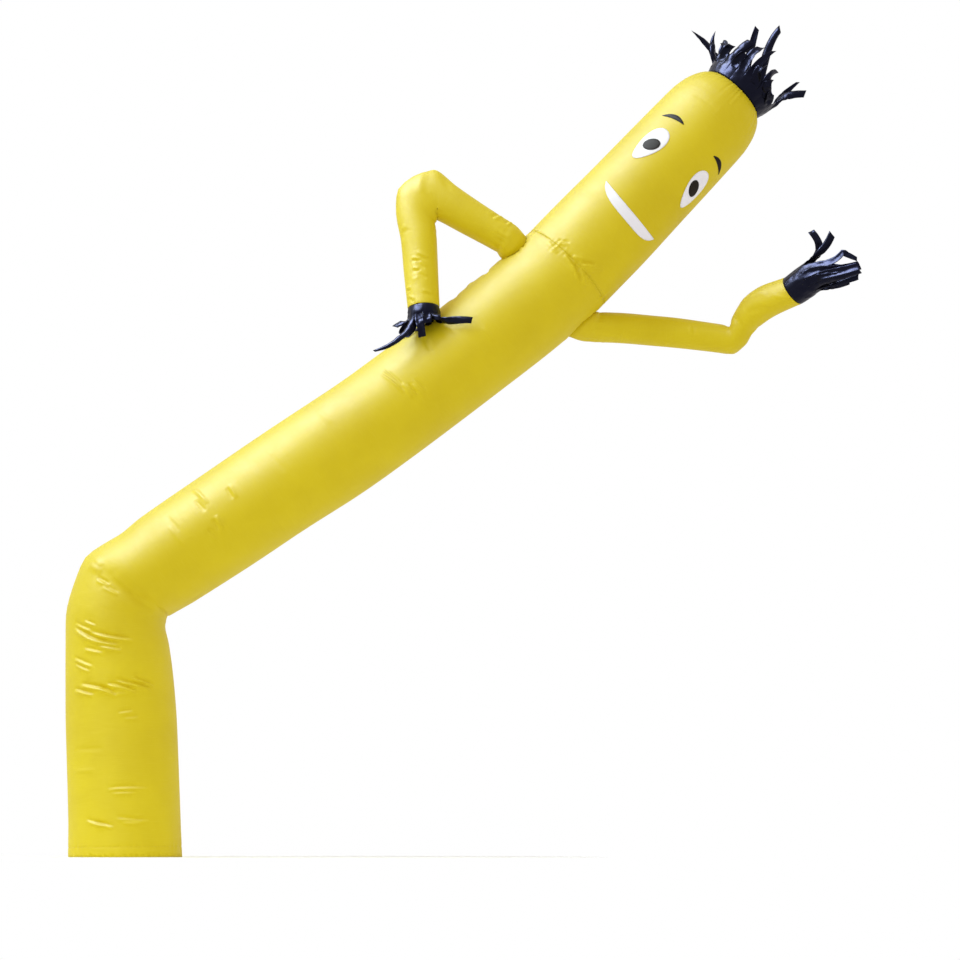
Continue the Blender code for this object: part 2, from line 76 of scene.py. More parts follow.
# ---- sizes that the pieces share ----
BODY_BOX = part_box("body_tube")
HEM_HEIGHT = BODY_BOX[0].z
BODY_RADIUS = 0.457 / 2
CLOTH = 0.002             # a yellow cloth wall
TRIM_CLOTH = 0.0016       # the fringes
PATCH_CLOTH = 0.001       # the face patches
SEAM_GAP = 0.0003         # between two pieces that are sewn edge to edge
FRINGE_GAP = 0.0006       # the same, where a fringe is sewn on
PATCH_LIFT = 0.0006       # under a face patch
SLEEVE_LIFT = 0.0012      # between a sleeve's sewn edge and the body
STITCH = 0.0009           # thickness of a sewing thread
STITCH_PITCH = 0.008      # from one stitch to the next
STITCH_SHARE = 0.65       # how much of the pitch shows as thread
SEAM_ROW = 0.0045         # from a felled seam's middle to each of its rows of stitches
FACE_TURN = 17.0          # degrees that the face's middle is turned from the viewer's side
BACK_SEAM = 180.0 + FACE_TURN - 360.0
ROOT = "root"
CLOTH_UV = "cloth"        # the UV map of every piece: the flat cloth, in metres
SMALLEST = 1e-5           # metres; nearer points are one


# ---- tables ----
class Section(NamedTuple):
    """A section of a tube: centre, heading, turn towards the viewer (degrees), half width and half depth."""

    x: float
    y: float
    z: float
    heading: float
    toward: float
    half_width: float
    half_depth: float


BODY_SECTIONS = (
    #       x       y    z      heading toward width  depth
    Section(0.000, 0.0, 0.000, 90.0, 0.0, BODY_RADIUS, BODY_RADIUS),
    Section(-0.006, 0.0, 0.140, 92.0, 0.0, 0.2260, 0.2280),
    Section(-0.014, 0.0, 0.276, 93.0, 0.0, 0.2255, 0.2280),
    Section(-0.029, 0.0, 0.519, 93.0, 0.0, 0.2245, 0.2290),
    Section(-0.043, 0.0, 0.715, 92.0, 0.0, 0.2180, 0.2350),
    Section(-0.055, 0.0, 0.863, 90.0, 0.0, 0.2090, 0.2430),
    Section(-0.064, 0.0, 0.955, 85.0, 0.0, 0.2020, 0.2490),
    Section(-0.048, 0.0, 1.034, 68.3, 0.0, 0.2020, 0.2500),
    Section(-0.024, 0.0, 1.097, 53.6, 0.0, 0.2070, 0.2470),
    Section(0.004, 0.0, 1.121, 45.7, 0.0, 0.1990, 0.2500),
    Section(0.050, 0.0, 1.147, 34.0, 0.0, 0.1950, 0.2500),
    Section(0.145, 0.0, 1.214, 34.0, 0.0, 0.2045, 0.2430),
    Section(0.360, 0.0, 1.360, 34.0, 0.0, 0.2100, 0.2350),
    Section(0.565, 0.0, 1.501, 34.5, 0.0, 0.2130, 0.2300),
    Section(0.792, 0.0, 1.654, 34.5, 0.0, 0.2170, 0.2240),
    Section(1.024, 0.0, 1.817, 36.0, 0.0, 0.2135, 0.2220),
    Section(1.237, 0.0, 1.979, 37.5, 0.0, 0.2140, 0.2205),
    Section(1.404, 0.0, 2.110, 38.0, 0.0, 0.2150, 0.2195),
    Section(1.509, 0.0, 2.194, 39.0, 0.0, 0.2160, 0.2190),
    Section(1.623, 0.0, 2.288, 41.5, 0.0, 0.2165, 0.2190),
    Section(1.720, 0.0, 2.374, 44.0, 0.0, 0.2170, 0.2190),
    Section(1.801, 0.0, 2.452, 45.5, 0.0, 0.2180, 0.2190),
)

HEAD_SECTIONS = (
    BODY_SECTIONS[-1],
    Section(1.930, 0.0, 2.589, 46.8, 0.0, 0.2195, 0.2190),
    Section(2.084, 0.0, 2.753, 47.0, 0.0, 0.2155, 0.2160),
    Section(2.326, 0.0, 3.013, 47.2, 0.0, 0.2095, 0.2110),
    Section(2.405, 0.0, 3.098, 47.2, 0.0, 0.2065, 0.2080),
    Section(2.446, 0.0, 3.142, 47.2, 0.0, 0.1970, 0.1990),
    Section(2.478, 0.0, 3.176, 47.2, 0.0, 0.1810, 0.1830),
    Section(2.499, 0.0, 3.199, 47.2, 0.0, 0.1620, 0.1640),
    Section(2.512, 0.0, 3.213, 47.2, 0.0, 0.1420, 0.1440),
)

LEFT_SLEEVE_SECTIONS = (
    #       x      y       z      heading toward width  depth
    Section(1.543, -0.085, 2.560, 149.0, 8.0, 0.0665, 0.0740),
    Section(1.379, -0.110, 2.653, 152.0, 7.0, 0.0765, 0.0740),
    Section(1.287, -0.125, 2.706, 154.0, 7.0, 0.0850, 0.0700),
    Section(1.243, -0.130, 2.729, 185.5, 5.0, 0.1080, 0.0660),
    Section(1.199, -0.134, 2.712, 207.6, 4.0, 0.1100, 0.0640),
    Section(1.168, -0.137, 2.678, 226.5, 4.0, 0.1090, 0.0640),
    Section(1.166, -0.140, 2.638, 238.0, 4.0, 0.0990, 0.0660),
    Section(1.179, -0.145, 2.536, 268.0, 5.0, 0.0755, 0.0740),
    Section(1.190, -0.160, 2.382, 273.0, 6.0, 0.0705, 0.0700),
    Section(1.201, -0.180, 2.235, 273.5, 7.0, 0.0655, 0.0665),
)

RIGHT_SLEEVE_SECTIONS = (
    Section(1.910, 0.085, 2.219, -22.0, -14.0, 0.0680, 0.0730),
    Section(1.996, 0.104, 2.220, -9.0, -6.0, 0.0655, 0.0720),
    Section(2.201, 0.118, 2.207, -7.0, -2.0, 0.0655, 0.0700),
    Section(2.434, 0.112, 2.178, -6.0, 2.0, 0.0610, 0.0700),
    Section(2.504, 0.106, 2.168, 5.0, 12.0, 0.0600, 0.0700),
    Section(2.530, 0.090, 2.192, 32.0, 22.0, 0.0570, 0.0700),
    Section(2.552, 0.070, 2.235, 42.0, 30.0, 0.0560, 0.0690),
    Section(2.592, 0.028, 2.277, 32.0, 34.0, 0.0680, 0.0660),
    Section(2.653, -0.026, 2.309, 30.0, 35.0, 0.0700, 0.0665),
    Section(2.742, -0.088, 2.332, 31.0, 35.0, 0.0655, 0.0665),
)


class FoldShape(Enum):
    """How the cloth runs across a crease."""

    RIDGE = "ridge"      # stands up
    TROUGH = "trough"    # sinks in
    TUCK = "tuck"        # sinks on its upper side and stands up on its lower side


class Crease(NamedTuple):
    """A crease from one point of a tube to another, each given by its path distance and its angle."""

    station: float
    angle: float
    end_station: float
    end_angle: float
    height: float
    width: float
    shape: FoldShape
    bow: float = 0.0     # metres that its middle lies off the straight line, along the tube


RIDGE, TROUGH, TUCK = FoldShape.RIDGE, FoldShape.TROUGH, FoldShape.TUCK

BODY_CREASES = (
    #      from station, angle  to station, angle  height  width  shape  bow
    # near the hem
    Crease(0.152, -34.0, 0.128, -8.0, 0.0045, 0.009, TUCK, -0.004),
    Crease(0.138, -24.0, 0.118, -2.0, 0.0035, 0.008, TUCK),
    Crease(0.154, 0.0, 0.139, 36.0, 0.0038, 0.009, TUCK, -0.003),
    Crease(0.136, 6.0, 0.130, 26.0, 0.0030, 0.008, TUCK),
    Crease(0.268, -8.0, 0.265, 36.0, 0.0034, 0.009, TUCK, 0.003),
    Crease(0.253, -4.0, 0.250, 22.0, 0.0026, 0.008, TUCK),
    Crease(0.345, -50.0, 0.346, -20.0, 0.0026, 0.010, RIDGE),
    Crease(0.434, -48.0, 0.429, -10.0, 0.0026, 0.010, TROUGH),
    Crease(0.545, 12.0, 0.547, 28.0, 0.0024, 0.008, TUCK),
    Crease(0.567, 6.0, 0.572, 22.0, 0.0026, 0.008, TUCK),
    # the braided folds at the middle of the leg
    Crease(0.672, -46.0, 0.644, -18.0, 0.0055, 0.009, TUCK),
    Crease(0.688, -36.0, 0.652, 2.0, 0.0068, 0.010, TUCK, 0.003),
    Crease(0.676, -14.0, 0.636, 6.0, 0.0056, 0.009, TUCK),
    Crease(0.684, -4.0, 0.652, 26.0, 0.0075, 0.010, TUCK, 0.003),
    Crease(0.696, 4.0, 0.660, 44.0, 0.0075, 0.010, TUCK, 0.002),
    Crease(0.706, 22.0, 0.676, 48.0, 0.0062, 0.009, TUCK),
    Crease(0.640, 4.0, 0.644, 28.0, 0.0036, 0.009, RIDGE),
    # two short ones under the shin folds
    Crease(0.795, -46.0, 0.756, -18.0, 0.0045, 0.009, TUCK),
    Crease(0.772, -44.0, 0.738, -22.0, 0.0040, 0.008, TUCK),
    # the shin folds under the knee
    Crease(0.926, -44.0, 0.896, -18.0, 0.0045, 0.008, TUCK),
    Crease(0.935, -28.0, 0.916, -12.0, 0.0036, 0.007, TUCK),
    Crease(0.916, -46.0, 0.838, 12.0, 0.0085, 0.011, TUCK, -0.012),
    Crease(0.893, -22.0, 0.862, 28.0, 0.0065, 0.010, TUCK, -0.006),
    Crease(0.838, -12.0, 0.818, 14.0, 0.0055, 0.009, TUCK),
    Crease(0.829, -30.0, 0.809, -6.0, 0.0040, 0.009, TUCK),
    # the knee: one deep fold from its outer side to the pinched inner side, and what gathers round it
    Crease(1.098, -32.0, 1.080, 56.0, 0.0120, 0.036, TROUGH, 0.000),
    Crease(1.092, -46.0, 1.096, -22.0, 0.0070, 0.012, RIDGE),
    Crease(1.118, -44.0, 1.112, -26.0, 0.0045, 0.009, RIDGE),
    Crease(1.071, -24.0, 1.072, -6.0, 0.0055, 0.008, TUCK),
    Crease(1.060, -14.0, 1.058, 8.0, 0.0040, 0.009, TUCK),
    Crease(1.112, -10.0, 1.104, 30.0, 0.0050, 0.014, RIDGE),
    # creases across the long body
    Crease(1.556, -48.0, 1.576, -16.0, 0.0060, 0.010, RIDGE, 0.003),
    Crease(1.540, -30.0, 1.552, -10.0, 0.0050, 0.009, TROUGH),
    Crease(1.576, 0.0, 1.570, 18.0, 0.0058, 0.009, RIDGE),
    Crease(1.558, 2.0, 1.556, 16.0, 0.0040, 0.008, TROUGH),
    Crease(1.518, 8.0, 1.536, 24.0, 0.0050, 0.009, TROUGH),
    Crease(1.690, -22.0, 1.686, -2.0, 0.0045, 0.009, RIDGE),
    Crease(1.674, -20.0, 1.672, -4.0, 0.0035, 0.009, TROUGH),
    Crease(1.396, -20.0, 1.402, 10.0, 0.0028, 0.010, RIDGE),
    Crease(1.410, -34.0, 1.420, -6.0, 0.0024, 0.009, TROUGH),
    Crease(2.466, -32.0, 2.492, 4.0, 0.0048, 0.008, TUCK, 0.003),
    Crease(2.484, -34.0, 2.500, -2.0, 0.0040, 0.007, TUCK),
    Crease(2.510, -6.0, 2.504, 15.0, 0.0046, 0.008, RIDGE),
    Crease(2.524, -2.0, 2.526, 16.0, 0.0036, 0.007, TUCK),
    Crease(2.538, 2.0, 2.548, 24.0, 0.0044, 0.008, RIDGE),
    Crease(2.556, -2.0, 2.566, 18.0, 0.0030, 0.008, TUCK),
    Crease(2.706, -36.0, 2.686, -14.0, 0.0070, 0.012, TROUGH, -0.006),
    Crease(2.910, -2.0, 2.911, 20.0, 0.0036, 0.009, RIDGE),
    Crease(2.160, -40.0, 2.172, -14.0, 0.0026, 0.012, RIDGE),
    Crease(1.900, -26.0, 1.906, 4.0, 0.0022, 0.011, TROUGH),
    # slack folds beside the left sleeve, on the upper edge
    Crease(2.920, -112.0, 2.924, -66.0, 0.0100, 0.016, TROUGH),
    Crease(3.106, -112.0, 3.104, -64.0, 0.0110, 0.016, TROUGH),
    Crease(3.012, -108.0, 3.016, -72.0, 0.0060, 0.018, RIDGE),
    Crease(3.196, -104.0, 3.200, -72.0, 0.0045, 0.014, TROUGH),
    # folds that run down from the shoulder seam
    Crease(3.376, -4.0, 3.352, 20.0, 0.0060, 0.009, TUCK, 0.003),
    Crease(3.372, 10.0, 3.338, 30.0, 0.0060, 0.009, TUCK),
    Crease(3.370, 22.0, 3.342, 40.0, 0.0050, 0.009, RIDGE),
    Crease(3.366, -30.0, 3.352, -10.0, 0.0040, 0.010, RIDGE),
    # the hidden side
    Crease(0.860, 140.0, 0.836, 196.0, 0.0065, 0.011, TUCK, 0.008),
    Crease(0.690, 132.0, 0.664, 188.0, 0.0055, 0.010, TUCK, -0.006),
    Crease(0.664, 160.0, 0.650, 214.0, 0.0050, 0.009, TUCK),
    Crease(1.086, 128.0, 1.094, 212.0, 0.0100, 0.024, TROUGH),
    Crease(1.070, 180.0, 1.074, 218.0, 0.0050, 0.009, TUCK),
    Crease(1.560, 150.0, 1.574, 200.0, 0.0055, 0.010, TUCK),
    Crease(2.236, 140.0, 2.252, 176.0, 0.0045, 0.009, TUCK),
    Crease(2.488, 154.0, 2.500, 206.0, 0.0050, 0.009, TUCK),
    Crease(0.144, 150.0, 0.132, 190.0, 0.0040, 0.009, TUCK),
    Crease(0.270, 168.0, 0.262, 208.0, 0.0035, 0.009, TUCK),
)

HEAD_CREASES = (
    Crease(0.012, 16.0, 0.052, 30.0, 0.0058, 0.009, TUCK),
    Crease(0.010, 24.0, 0.062, 40.0, 0.0052, 0.009, RIDGE),
    Crease(0.008, 4.0, 0.030, 16.0, 0.0050, 0.008, RIDGE),
    Crease(0.012, -20.0, 0.036, -8.0, 0.0034, 0.009, TUCK),
    Crease(0.120, 150.0, 0.134, 196.0, 0.0040, 0.010, TUCK),
    Crease(0.420, 160.0, 0.430, 200.0, 0.0035, 0.010, TUCK),
    Crease(0.880, -30.0, 0.884, 10.0, 0.0020, 0.012, TROUGH),
)

LEFT_SLEEVE_CREASES = (
    # the elbow: a ridge over its outer side, and shallow hollows where it is pressed together
    Crease(0.362, 74.0, 0.404, 4.0, 0.0065, 0.014, RIDGE),
    Crease(0.338, 40.0, 0.342, 124.0, 0.0075, 0.013, RIDGE),
    Crease(0.312, 20.0, 0.330, 84.0, 0.0050, 0.014, TROUGH),
    Crease(0.350, -100.0, 0.352, -50.0, 0.0030, 0.020, TROUGH),
    Crease(0.540, -100.0, 0.545, -50.0, 0.0030, 0.020, TROUGH),
    # short crosswise folds down the forearm, none like the next
    Crease(0.556, 30.0, 0.568, 62.0, 0.0019, 0.0108, TUCK),
    Crease(0.610, 44.0, 0.606, 76.0, 0.0016, 0.0108, RIDGE),
    Crease(0.668, 10.0, 0.694, -30.0, 0.0029, 0.0096, TUCK, 0.002),
    Crease(0.690, 30.0, 0.700, -4.0, 0.0032, 0.0084, TUCK),
    Crease(0.704, 12.0, 0.734, -18.0, 0.0026, 0.0096, TUCK, -0.002),
    Crease(0.736, 30.0, 0.742, 4.0, 0.0029, 0.0084, TUCK),
    Crease(0.748, 6.0, 0.776, -22.0, 0.0024, 0.0096, TUCK),
    Crease(0.782, 34.0, 0.776, 6.0, 0.0020, 0.0096, RIDGE),
    Crease(0.806, 78.0, 0.820, 40.0, 0.0024, 0.0096, TUCK),
    Crease(0.838, 0.0, 0.850, -38.0, 0.0022, 0.0096, TUCK),
    Crease(0.848, 62.0, 0.872, 30.0, 0.0024, 0.0096, TUCK),
    # towards the shoulder
    Crease(0.090, 20.0, 0.066, 70.0, 0.0034, 0.010, TUCK),
    Crease(0.030, 30.0, 0.020, 74.0, 0.0036, 0.009, TUCK),
    Crease(0.150, 150.0, 0.160, 210.0, 0.0034, 0.010, TUCK),
    Crease(0.640, 160.0, 0.650, 206.0, 0.0034, 0.009, TUCK),
)

RIGHT_SLEEVE_CREASES = (
    # the elbow
    Crease(0.584, 40.0, 0.628, 120.0, 0.0040, 0.013, TROUGH),
    Crease(0.556, -120.0, 0.600, -58.0, 0.0070, 0.013, TROUGH),
    Crease(0.640, -104.0, 0.632, -50.0, 0.0065, 0.012, TROUGH),
    Crease(0.700, -60.0, 0.690, 20.0, 0.0040, 0.014, TROUGH),
    Crease(0.752, -46.0, 0.880, -24.0, 0.0038, 0.017, RIDGE, 0.010),
    Crease(0.748, 4.0, 0.850, 30.0, 0.0034, 0.015, TROUGH, 0.006),
    Crease(0.660, 66.0, 0.720, 104.0, 0.0045, 0.012, RIDGE),
    Crease(0.900, -10.0, 0.944, 26.0, 0.0024, 0.010, RIDGE),
    Crease(0.330, 40.0, 0.336, 90.0, 0.0024, 0.010, TUCK),
    Crease(0.120, 30.0, 0.134, 84.0, 0.0028, 0.010, TUCK),
    Crease(0.420, -30.0, 0.428, 20.0, 0.0020, 0.010, TUCK),
    Crease(0.300, 150.0, 0.310, 206.0, 0.0030, 0.010, TUCK),
)


def shifted(creases: Sequence[Crease], by: float) -> tuple[Crease, ...]:
    """The same creases, seen from the tube at the other side of a seam.

    Args:
        creases: creases of the first tube.
        by: what is added to their path distances, metres.

    Returns:
        The creases, of which only those near the seam will matter.
    """
    return tuple(c._replace(station=c.station + by, end_station=c.end_station + by) for c in creases)


def mean_girth(rows: Sequence[Section]) -> float:
    """Mean distance round a tube."""
    return 2 * math.pi * sum(row.half_width + row.half_depth for row in rows) / (2 * len(rows))


class GatheredSeam(NamedTuple):
    """A seam round a tube whose stitches draw the cloth in and pucker it."""

    station: float
    groove: float
    groove_width: float
    pucker: float
    reach: float
    puckers: int              # how many go round the tube
    seed: int


#                             station groove width pucker reach puckers seed
SHOULDER_SEAM = GatheredSeam(0.0, 0.0010, 0.012, 0.0020, 0.022, 46, 3)
HEM_SEAM = GatheredSeam(0.040, 0.0012, 0.004, 0.0012, 0.016, 36, 5)
CROWN_SEAM = GatheredSeam(1.041, 0.0000, 0.006, 0.0030, 0.060, 44, 7)
SLEEVE_ROOT_SEAM = GatheredSeam(0.012, 0.0010, 0.010, 0.0030, 0.024, 17, 11)
WRIST_SEAM = GatheredSeam(0.0, 0.0006, 0.006, 0.0016, 0.016, 17, 13)


# ---- colours and nodes ----
def linear(hex_colour: str) -> tuple[float, float, float, float]:
    """Turn an sRGB hex colour into linear red, green, blue and alpha.

    Args:
        hex_colour: six hex digits, such as "E0D040".

    Returns:
        The linear colour with alpha 1.
    """
    channels = [int(hex_colour[i:i + 2], 16) / 255 for i in (0, 2, 4)]
    straight = [c / 12.92 if c <= 0.04045 else ((c + 0.055) / 1.055) ** 2.4 for c in channels]
    return (*straight, 1.0)


def add_node(tree: bpy.types.NodeTree, kind: str, settings: dict | None = None,
             values: dict | None = None, links: dict | None = None) -> bpy.types.Node:
    """Add a shader node.

    Args:
        tree: the material's node tree.
        kind: the node's type name.
        settings: the node's own properties, by name.
        values: constants of its inputs, by name or index.
        links: outputs to connect to its inputs, by input name or index.

    Returns:
        The new node.
    """
    node = tree.nodes.new(kind)
    for name, value in (settings or {}).items():
        setattr(node, name, value)
    for name, value in (values or {}).items():
        node.inputs[name].default_value = value
    for name, output in (links or {}).items():
        tree.links.new(output, node.inputs[name])
    return node


@dataclass(frozen=True)
class WovenNylon:
    """Plain-woven nylon, coated on one side to hold air: a close, slightly slubby weave with a soft sheen.

    Its weave and its slubs follow the cloth's own UV map, whose units are metres.
    """

    name: str
    colour: str
    shade: str                # where the weave lies deeper or the dye took more
    bloom: str                # a paler tone, which the slubs go towards
    roughness: float
    sheen: float = 0.0
    sheen_tint: str = "FFFFFF"
    thread: float = 0.0016    # metres; the real thread is about 0.3 mm, drawn coarser so that it shows
    slub: float = 0.004
    slub_length: float = 0.060
    slub_share: float = 0.16  # how far a slub goes towards the bloom colour
    cloud_size: float = 0.30  # metres; the dye's cloudy tones
    patch_size: float = 0.08  # metres; the coating's shinier patches
    roughness_swing: float = 0.05
    weave_depth: float = 0.00006
    crumple: float = 0.0012   # depth of the fine crumpling, metres
    crumple_size: float = 0.035
    crumple_turn: float = 0.12                    # radians that the crumples lean
    specular: float = 0.5
    specular_tint: str = "FFFFFF"

    def make(self) -> bpy.types.Material:
        """Build the material.

        Returns:
            The material, ready to use.
        """
        made = bpy.data.materials.new(self.name)
        made.use_nodes = True
        tree = made.node_tree
        tree.nodes.clear()
        uv = add_node(tree, "ShaderNodeUVMap", {"uv_map": CLOTH_UV}).outputs["UV"]
        tone = self._tone(tree, uv)
        height = self._height(tree, uv)
        bump = add_node(
            tree, "ShaderNodeBump", values={"Strength": 1.0, "Distance": 1.0}, links={"Height": height})
        shader = add_node(
            tree, "ShaderNodeBsdfPrincipled",
            values={
                "Metallic": 0.0,
                "IOR": 1.5,
                "Specular IOR Level": self.specular,
                "Specular Tint": linear(self.specular_tint),
                "Sheen Weight": self.sheen,
                "Sheen Roughness": 0.45,
                "Sheen Tint": linear(self.sheen_tint),
            },
            links={
                "Base Color": tone,
                "Roughness": self._roughness(tree, uv),
                "Normal": bump.outputs["Normal"],
            },
        )
        add_node(tree, "ShaderNodeOutputMaterial", links={"Surface": shader.outputs["BSDF"]})
        return made

    def _tone(self, tree: bpy.types.NodeTree, uv: bpy.types.NodeSocket) -> bpy.types.NodeSocket:
        """Colour: cloudy dye tones with paler threads here and there.

        Args:
            tree: the node tree.
            uv: the output that gives the place on the cloth.

        Returns:
            The output that gives the colour.
        """
        cloud = add_node(
            tree, "ShaderNodeTexNoise", {"noise_dimensions": "2D"},
            {"Scale": 1 / self.cloud_size, "Detail": 3.0, "Roughness": 0.55}, {"Vector": uv})
        cloudy = add_node(
            tree, "ShaderNodeMapRange", None,
            {"From Min": 0.35, "From Max": 0.70}, {"Value": cloud.outputs["Fac"]})
        base = add_node(
            tree, "ShaderNodeMix", {"data_type": "RGBA"}, {6: linear(self.colour), 7: linear(self.shade)},
            {0: cloudy.outputs["Result"]})
        stretch = add_node(
            tree, "ShaderNodeMapping", None,
            {"Scale": (1 / self.slub_length, 1 / self.slub, 1.0)}, {"Vector": uv})
        slubs = add_node(
            tree, "ShaderNodeTexNoise", {"noise_dimensions": "2D"}, {"Scale": 1.0, "Detail": 2.0},
            {"Vector": stretch.outputs["Vector"]})
        paler = add_node(
            tree, "ShaderNodeMapRange", None,
            {"From Min": 0.52, "From Max": 0.80, "To Max": self.slub_share}, {"Value": slubs.outputs["Fac"]})
        return add_node(
            tree, "ShaderNodeMix", {"data_type": "RGBA"}, {7: linear(self.bloom)},
            {0: paler.outputs["Result"], 6: base.outputs[2]}).outputs[2]

    def _roughness(self, tree: bpy.types.NodeTree, uv: bpy.types.NodeSocket) -> bpy.types.NodeSocket:
        """Roughness: the coating is a little shinier in patches.

        Args:
            tree: the node tree.
            uv: the output that gives the place on the cloth.

        Returns:
            The output that gives the roughness.
        """
        patches = add_node(
            tree, "ShaderNodeTexNoise", {"noise_dimensions": "2D"},
            {"Scale": 1 / self.patch_size, "Detail": 2.0}, {"Vector": uv})
        return add_node(
            tree, "ShaderNodeMapRange", None,
            {
                "To Min": self.roughness - self.roughness_swing,
                "To Max": self.roughness + self.roughness_swing,
            },
            {"Value": patches.outputs["Fac"]}).outputs["Result"]

    def _height(self, tree: bpy.types.NodeTree, uv: bpy.types.NodeSocket) -> bpy.types.NodeSocket:
        """Height in metres: crossing threads, and faint crumples that run round the tube.

        Args:
            tree: the node tree.
            uv: the output that gives the place on the cloth.

        Returns:
            The output that gives the height.
        """
        split = add_node(tree, "ShaderNodeSeparateXYZ", links={"Vector": uv})
        waves = []
        for axis in ("X", "Y"):
            turns = add_node(
                tree, "ShaderNodeMath", {"operation": "MULTIPLY"}, {1: 2 * math.pi / self.thread},
                {0: split.outputs[axis]})
            waves.append(add_node(tree, "ShaderNodeMath", {"operation": "SINE"}, None, {0: turns.outputs[0]}))
        weave = add_node(
            tree, "ShaderNodeMath", {"operation": "MULTIPLY"}, None,
            {0: waves[0].outputs[0], 1: waves[1].outputs[0]})
        weave_height = add_node(
            tree, "ShaderNodeMath", {"operation": "MULTIPLY"}, {1: self.weave_depth}, {0: weave.outputs[0]})
        stretch = add_node(
            tree, "ShaderNodeMapping", None,
            {
                "Scale": (1 / (4 * self.crumple_size), 1 / self.crumple_size, 1.0),
                "Rotation": (0.0, 0.0, self.crumple_turn),
            },
            {"Vector": uv})
        crumples = add_node(
            tree, "ShaderNodeTexNoise", {"noise_dimensions": "2D"},
            {"Scale": 1.0, "Detail": 3.0, "Roughness": 0.5, "Distortion": 0.4},
            {"Vector": stretch.outputs["Vector"]})
        return add_node(
            tree, "ShaderNodeMath", {"operation": "MULTIPLY_ADD"}, {1: self.crumple},
            {0: crumples.outputs["Fac"], 2: weave_height.outputs[0]}).outputs[0]


@dataclass(frozen=True)
class SpunThread:
    """Spun polyester sewing thread: matt and slightly fuzzy, twisted from two plies."""

    name: str
    colour: str
    twist: float = 0.0018     # metres from one turn of the plies to the next

    def make(self) -> bpy.types.Material:
        """Build the material.

        Returns:
            The material, ready to use.
        """
        made = bpy.data.materials.new(self.name)
        made.use_nodes = True
        tree = made.node_tree
        tree.nodes.clear()
        place = add_node(tree, "ShaderNodeTexCoord").outputs["Object"]
        plies = add_node(
            tree, "ShaderNodeTexWave", {"bands_direction": "DIAGONAL"}, {"Scale": 1 / self.twist / 20},
            {"Vector": place})
        tone = add_node(
            tree, "ShaderNodeMix", {"data_type": "RGBA"},
            {6: linear(self.colour), 7: (*[c * 0.7 for c in linear(self.colour)[:3]], 1.0)},
            {0: plies.outputs["Fac"]})
        shader = add_node(
            tree, "ShaderNodeBsdfPrincipled", None,
            {"Roughness": 0.8, "Sheen Weight": 0.2, "Sheen Roughness": 0.6}, {"Base Color": tone.outputs[2]})
        add_node(tree, "ShaderNodeOutputMaterial", links={"Surface": shader.outputs["BSDF"]})
        return made


@dataclass(frozen=True)
class StudioPaper:
    """A matt paper sweep: pale and even, with nothing on it."""

    name: str = "matt_studio_paper"
    colour: str = "FAFAFA"

    def make(self) -> bpy.types.Material:
        """Build the material.

        Returns:
            The material, ready to use.
        """
        made = bpy.data.materials.new(self.name)
        made.use_nodes = True
        shader = made.node_tree.nodes["Principled BSDF"]
        shader.inputs["Base Color"].default_value = linear(self.colour)
        shader.inputs["Roughness"].default_value = 0.9
        shader.inputs["Specular IOR Level"].default_value = 0.1
        return made


@dataclass(frozen=True)
class Finishes:
    """Every material of the figure, made once."""

    yellow: bpy.types.Material
    black: bpy.types.Material
    white: bpy.types.Material
    patch_black: bpy.types.Material
    yellow_thread: bpy.types.Material
    white_thread: bpy.types.Material
    black_thread: bpy.types.Material

    @classmethod
    def make(cls) -> "Finishes":
        """Make them all.

        Returns:
            The set of materials.
        """
        return cls(
            # kite nylon dyed through: the eye sees a satin yellow with faint clouds, never a mirror
            yellow=WovenNylon(
                "woven_nylon_yellow", "DFCA09", "D9C305", "E6D53C", roughness=0.55, sheen=0.03,
                sheen_tint="FFFBE0", specular=0.26).make(),
            # the fringes' nylon has a finer weave and a smoother coating: a near black that stays deep in
            # the folds, with cool glints along its creases
            black=WovenNylon(
                "coated_nylon_black", "0C0C14", "08080F", "15151F", roughness=0.32, crumple=0.0005,
                crumple_size=0.020, specular=0.22, specular_tint="A8B0F0", weave_depth=0.000015).make(),
            # eyes and mouth are cut from bleached nylon: flat, bright and even, so that they stand out
            white=WovenNylon(
                "woven_nylon_white", "F9F9FC", "F4F4F8", "FFFFFF", roughness=0.6, crumple=0.0004,
                specular=0.2).make(),
            # pupils and brows are nylon of a brownish black dye: matt, so they stay dark from every side
            patch_black=WovenNylon(
                "woven_nylon_patch_black", "211A12", "1A140D", "302718", roughness=0.6, crumple=0.0004,
                specular=0.15).make(),
            # spun polyester thread, twisted from two plies: a dull line of small bars on the yellow cloth
            yellow_thread=SpunThread("spun_thread_yellow", "E0C810").make(),
            # the same thread undyed, which outlines the eyes and the mouth without showing
            white_thread=SpunThread("spun_thread_white", "E6E6E2").make(),
            # the same thread dyed black, which sinks into the edge of the dark patches
            black_thread=SpunThread("spun_thread_black", "15151A").make(),
        )


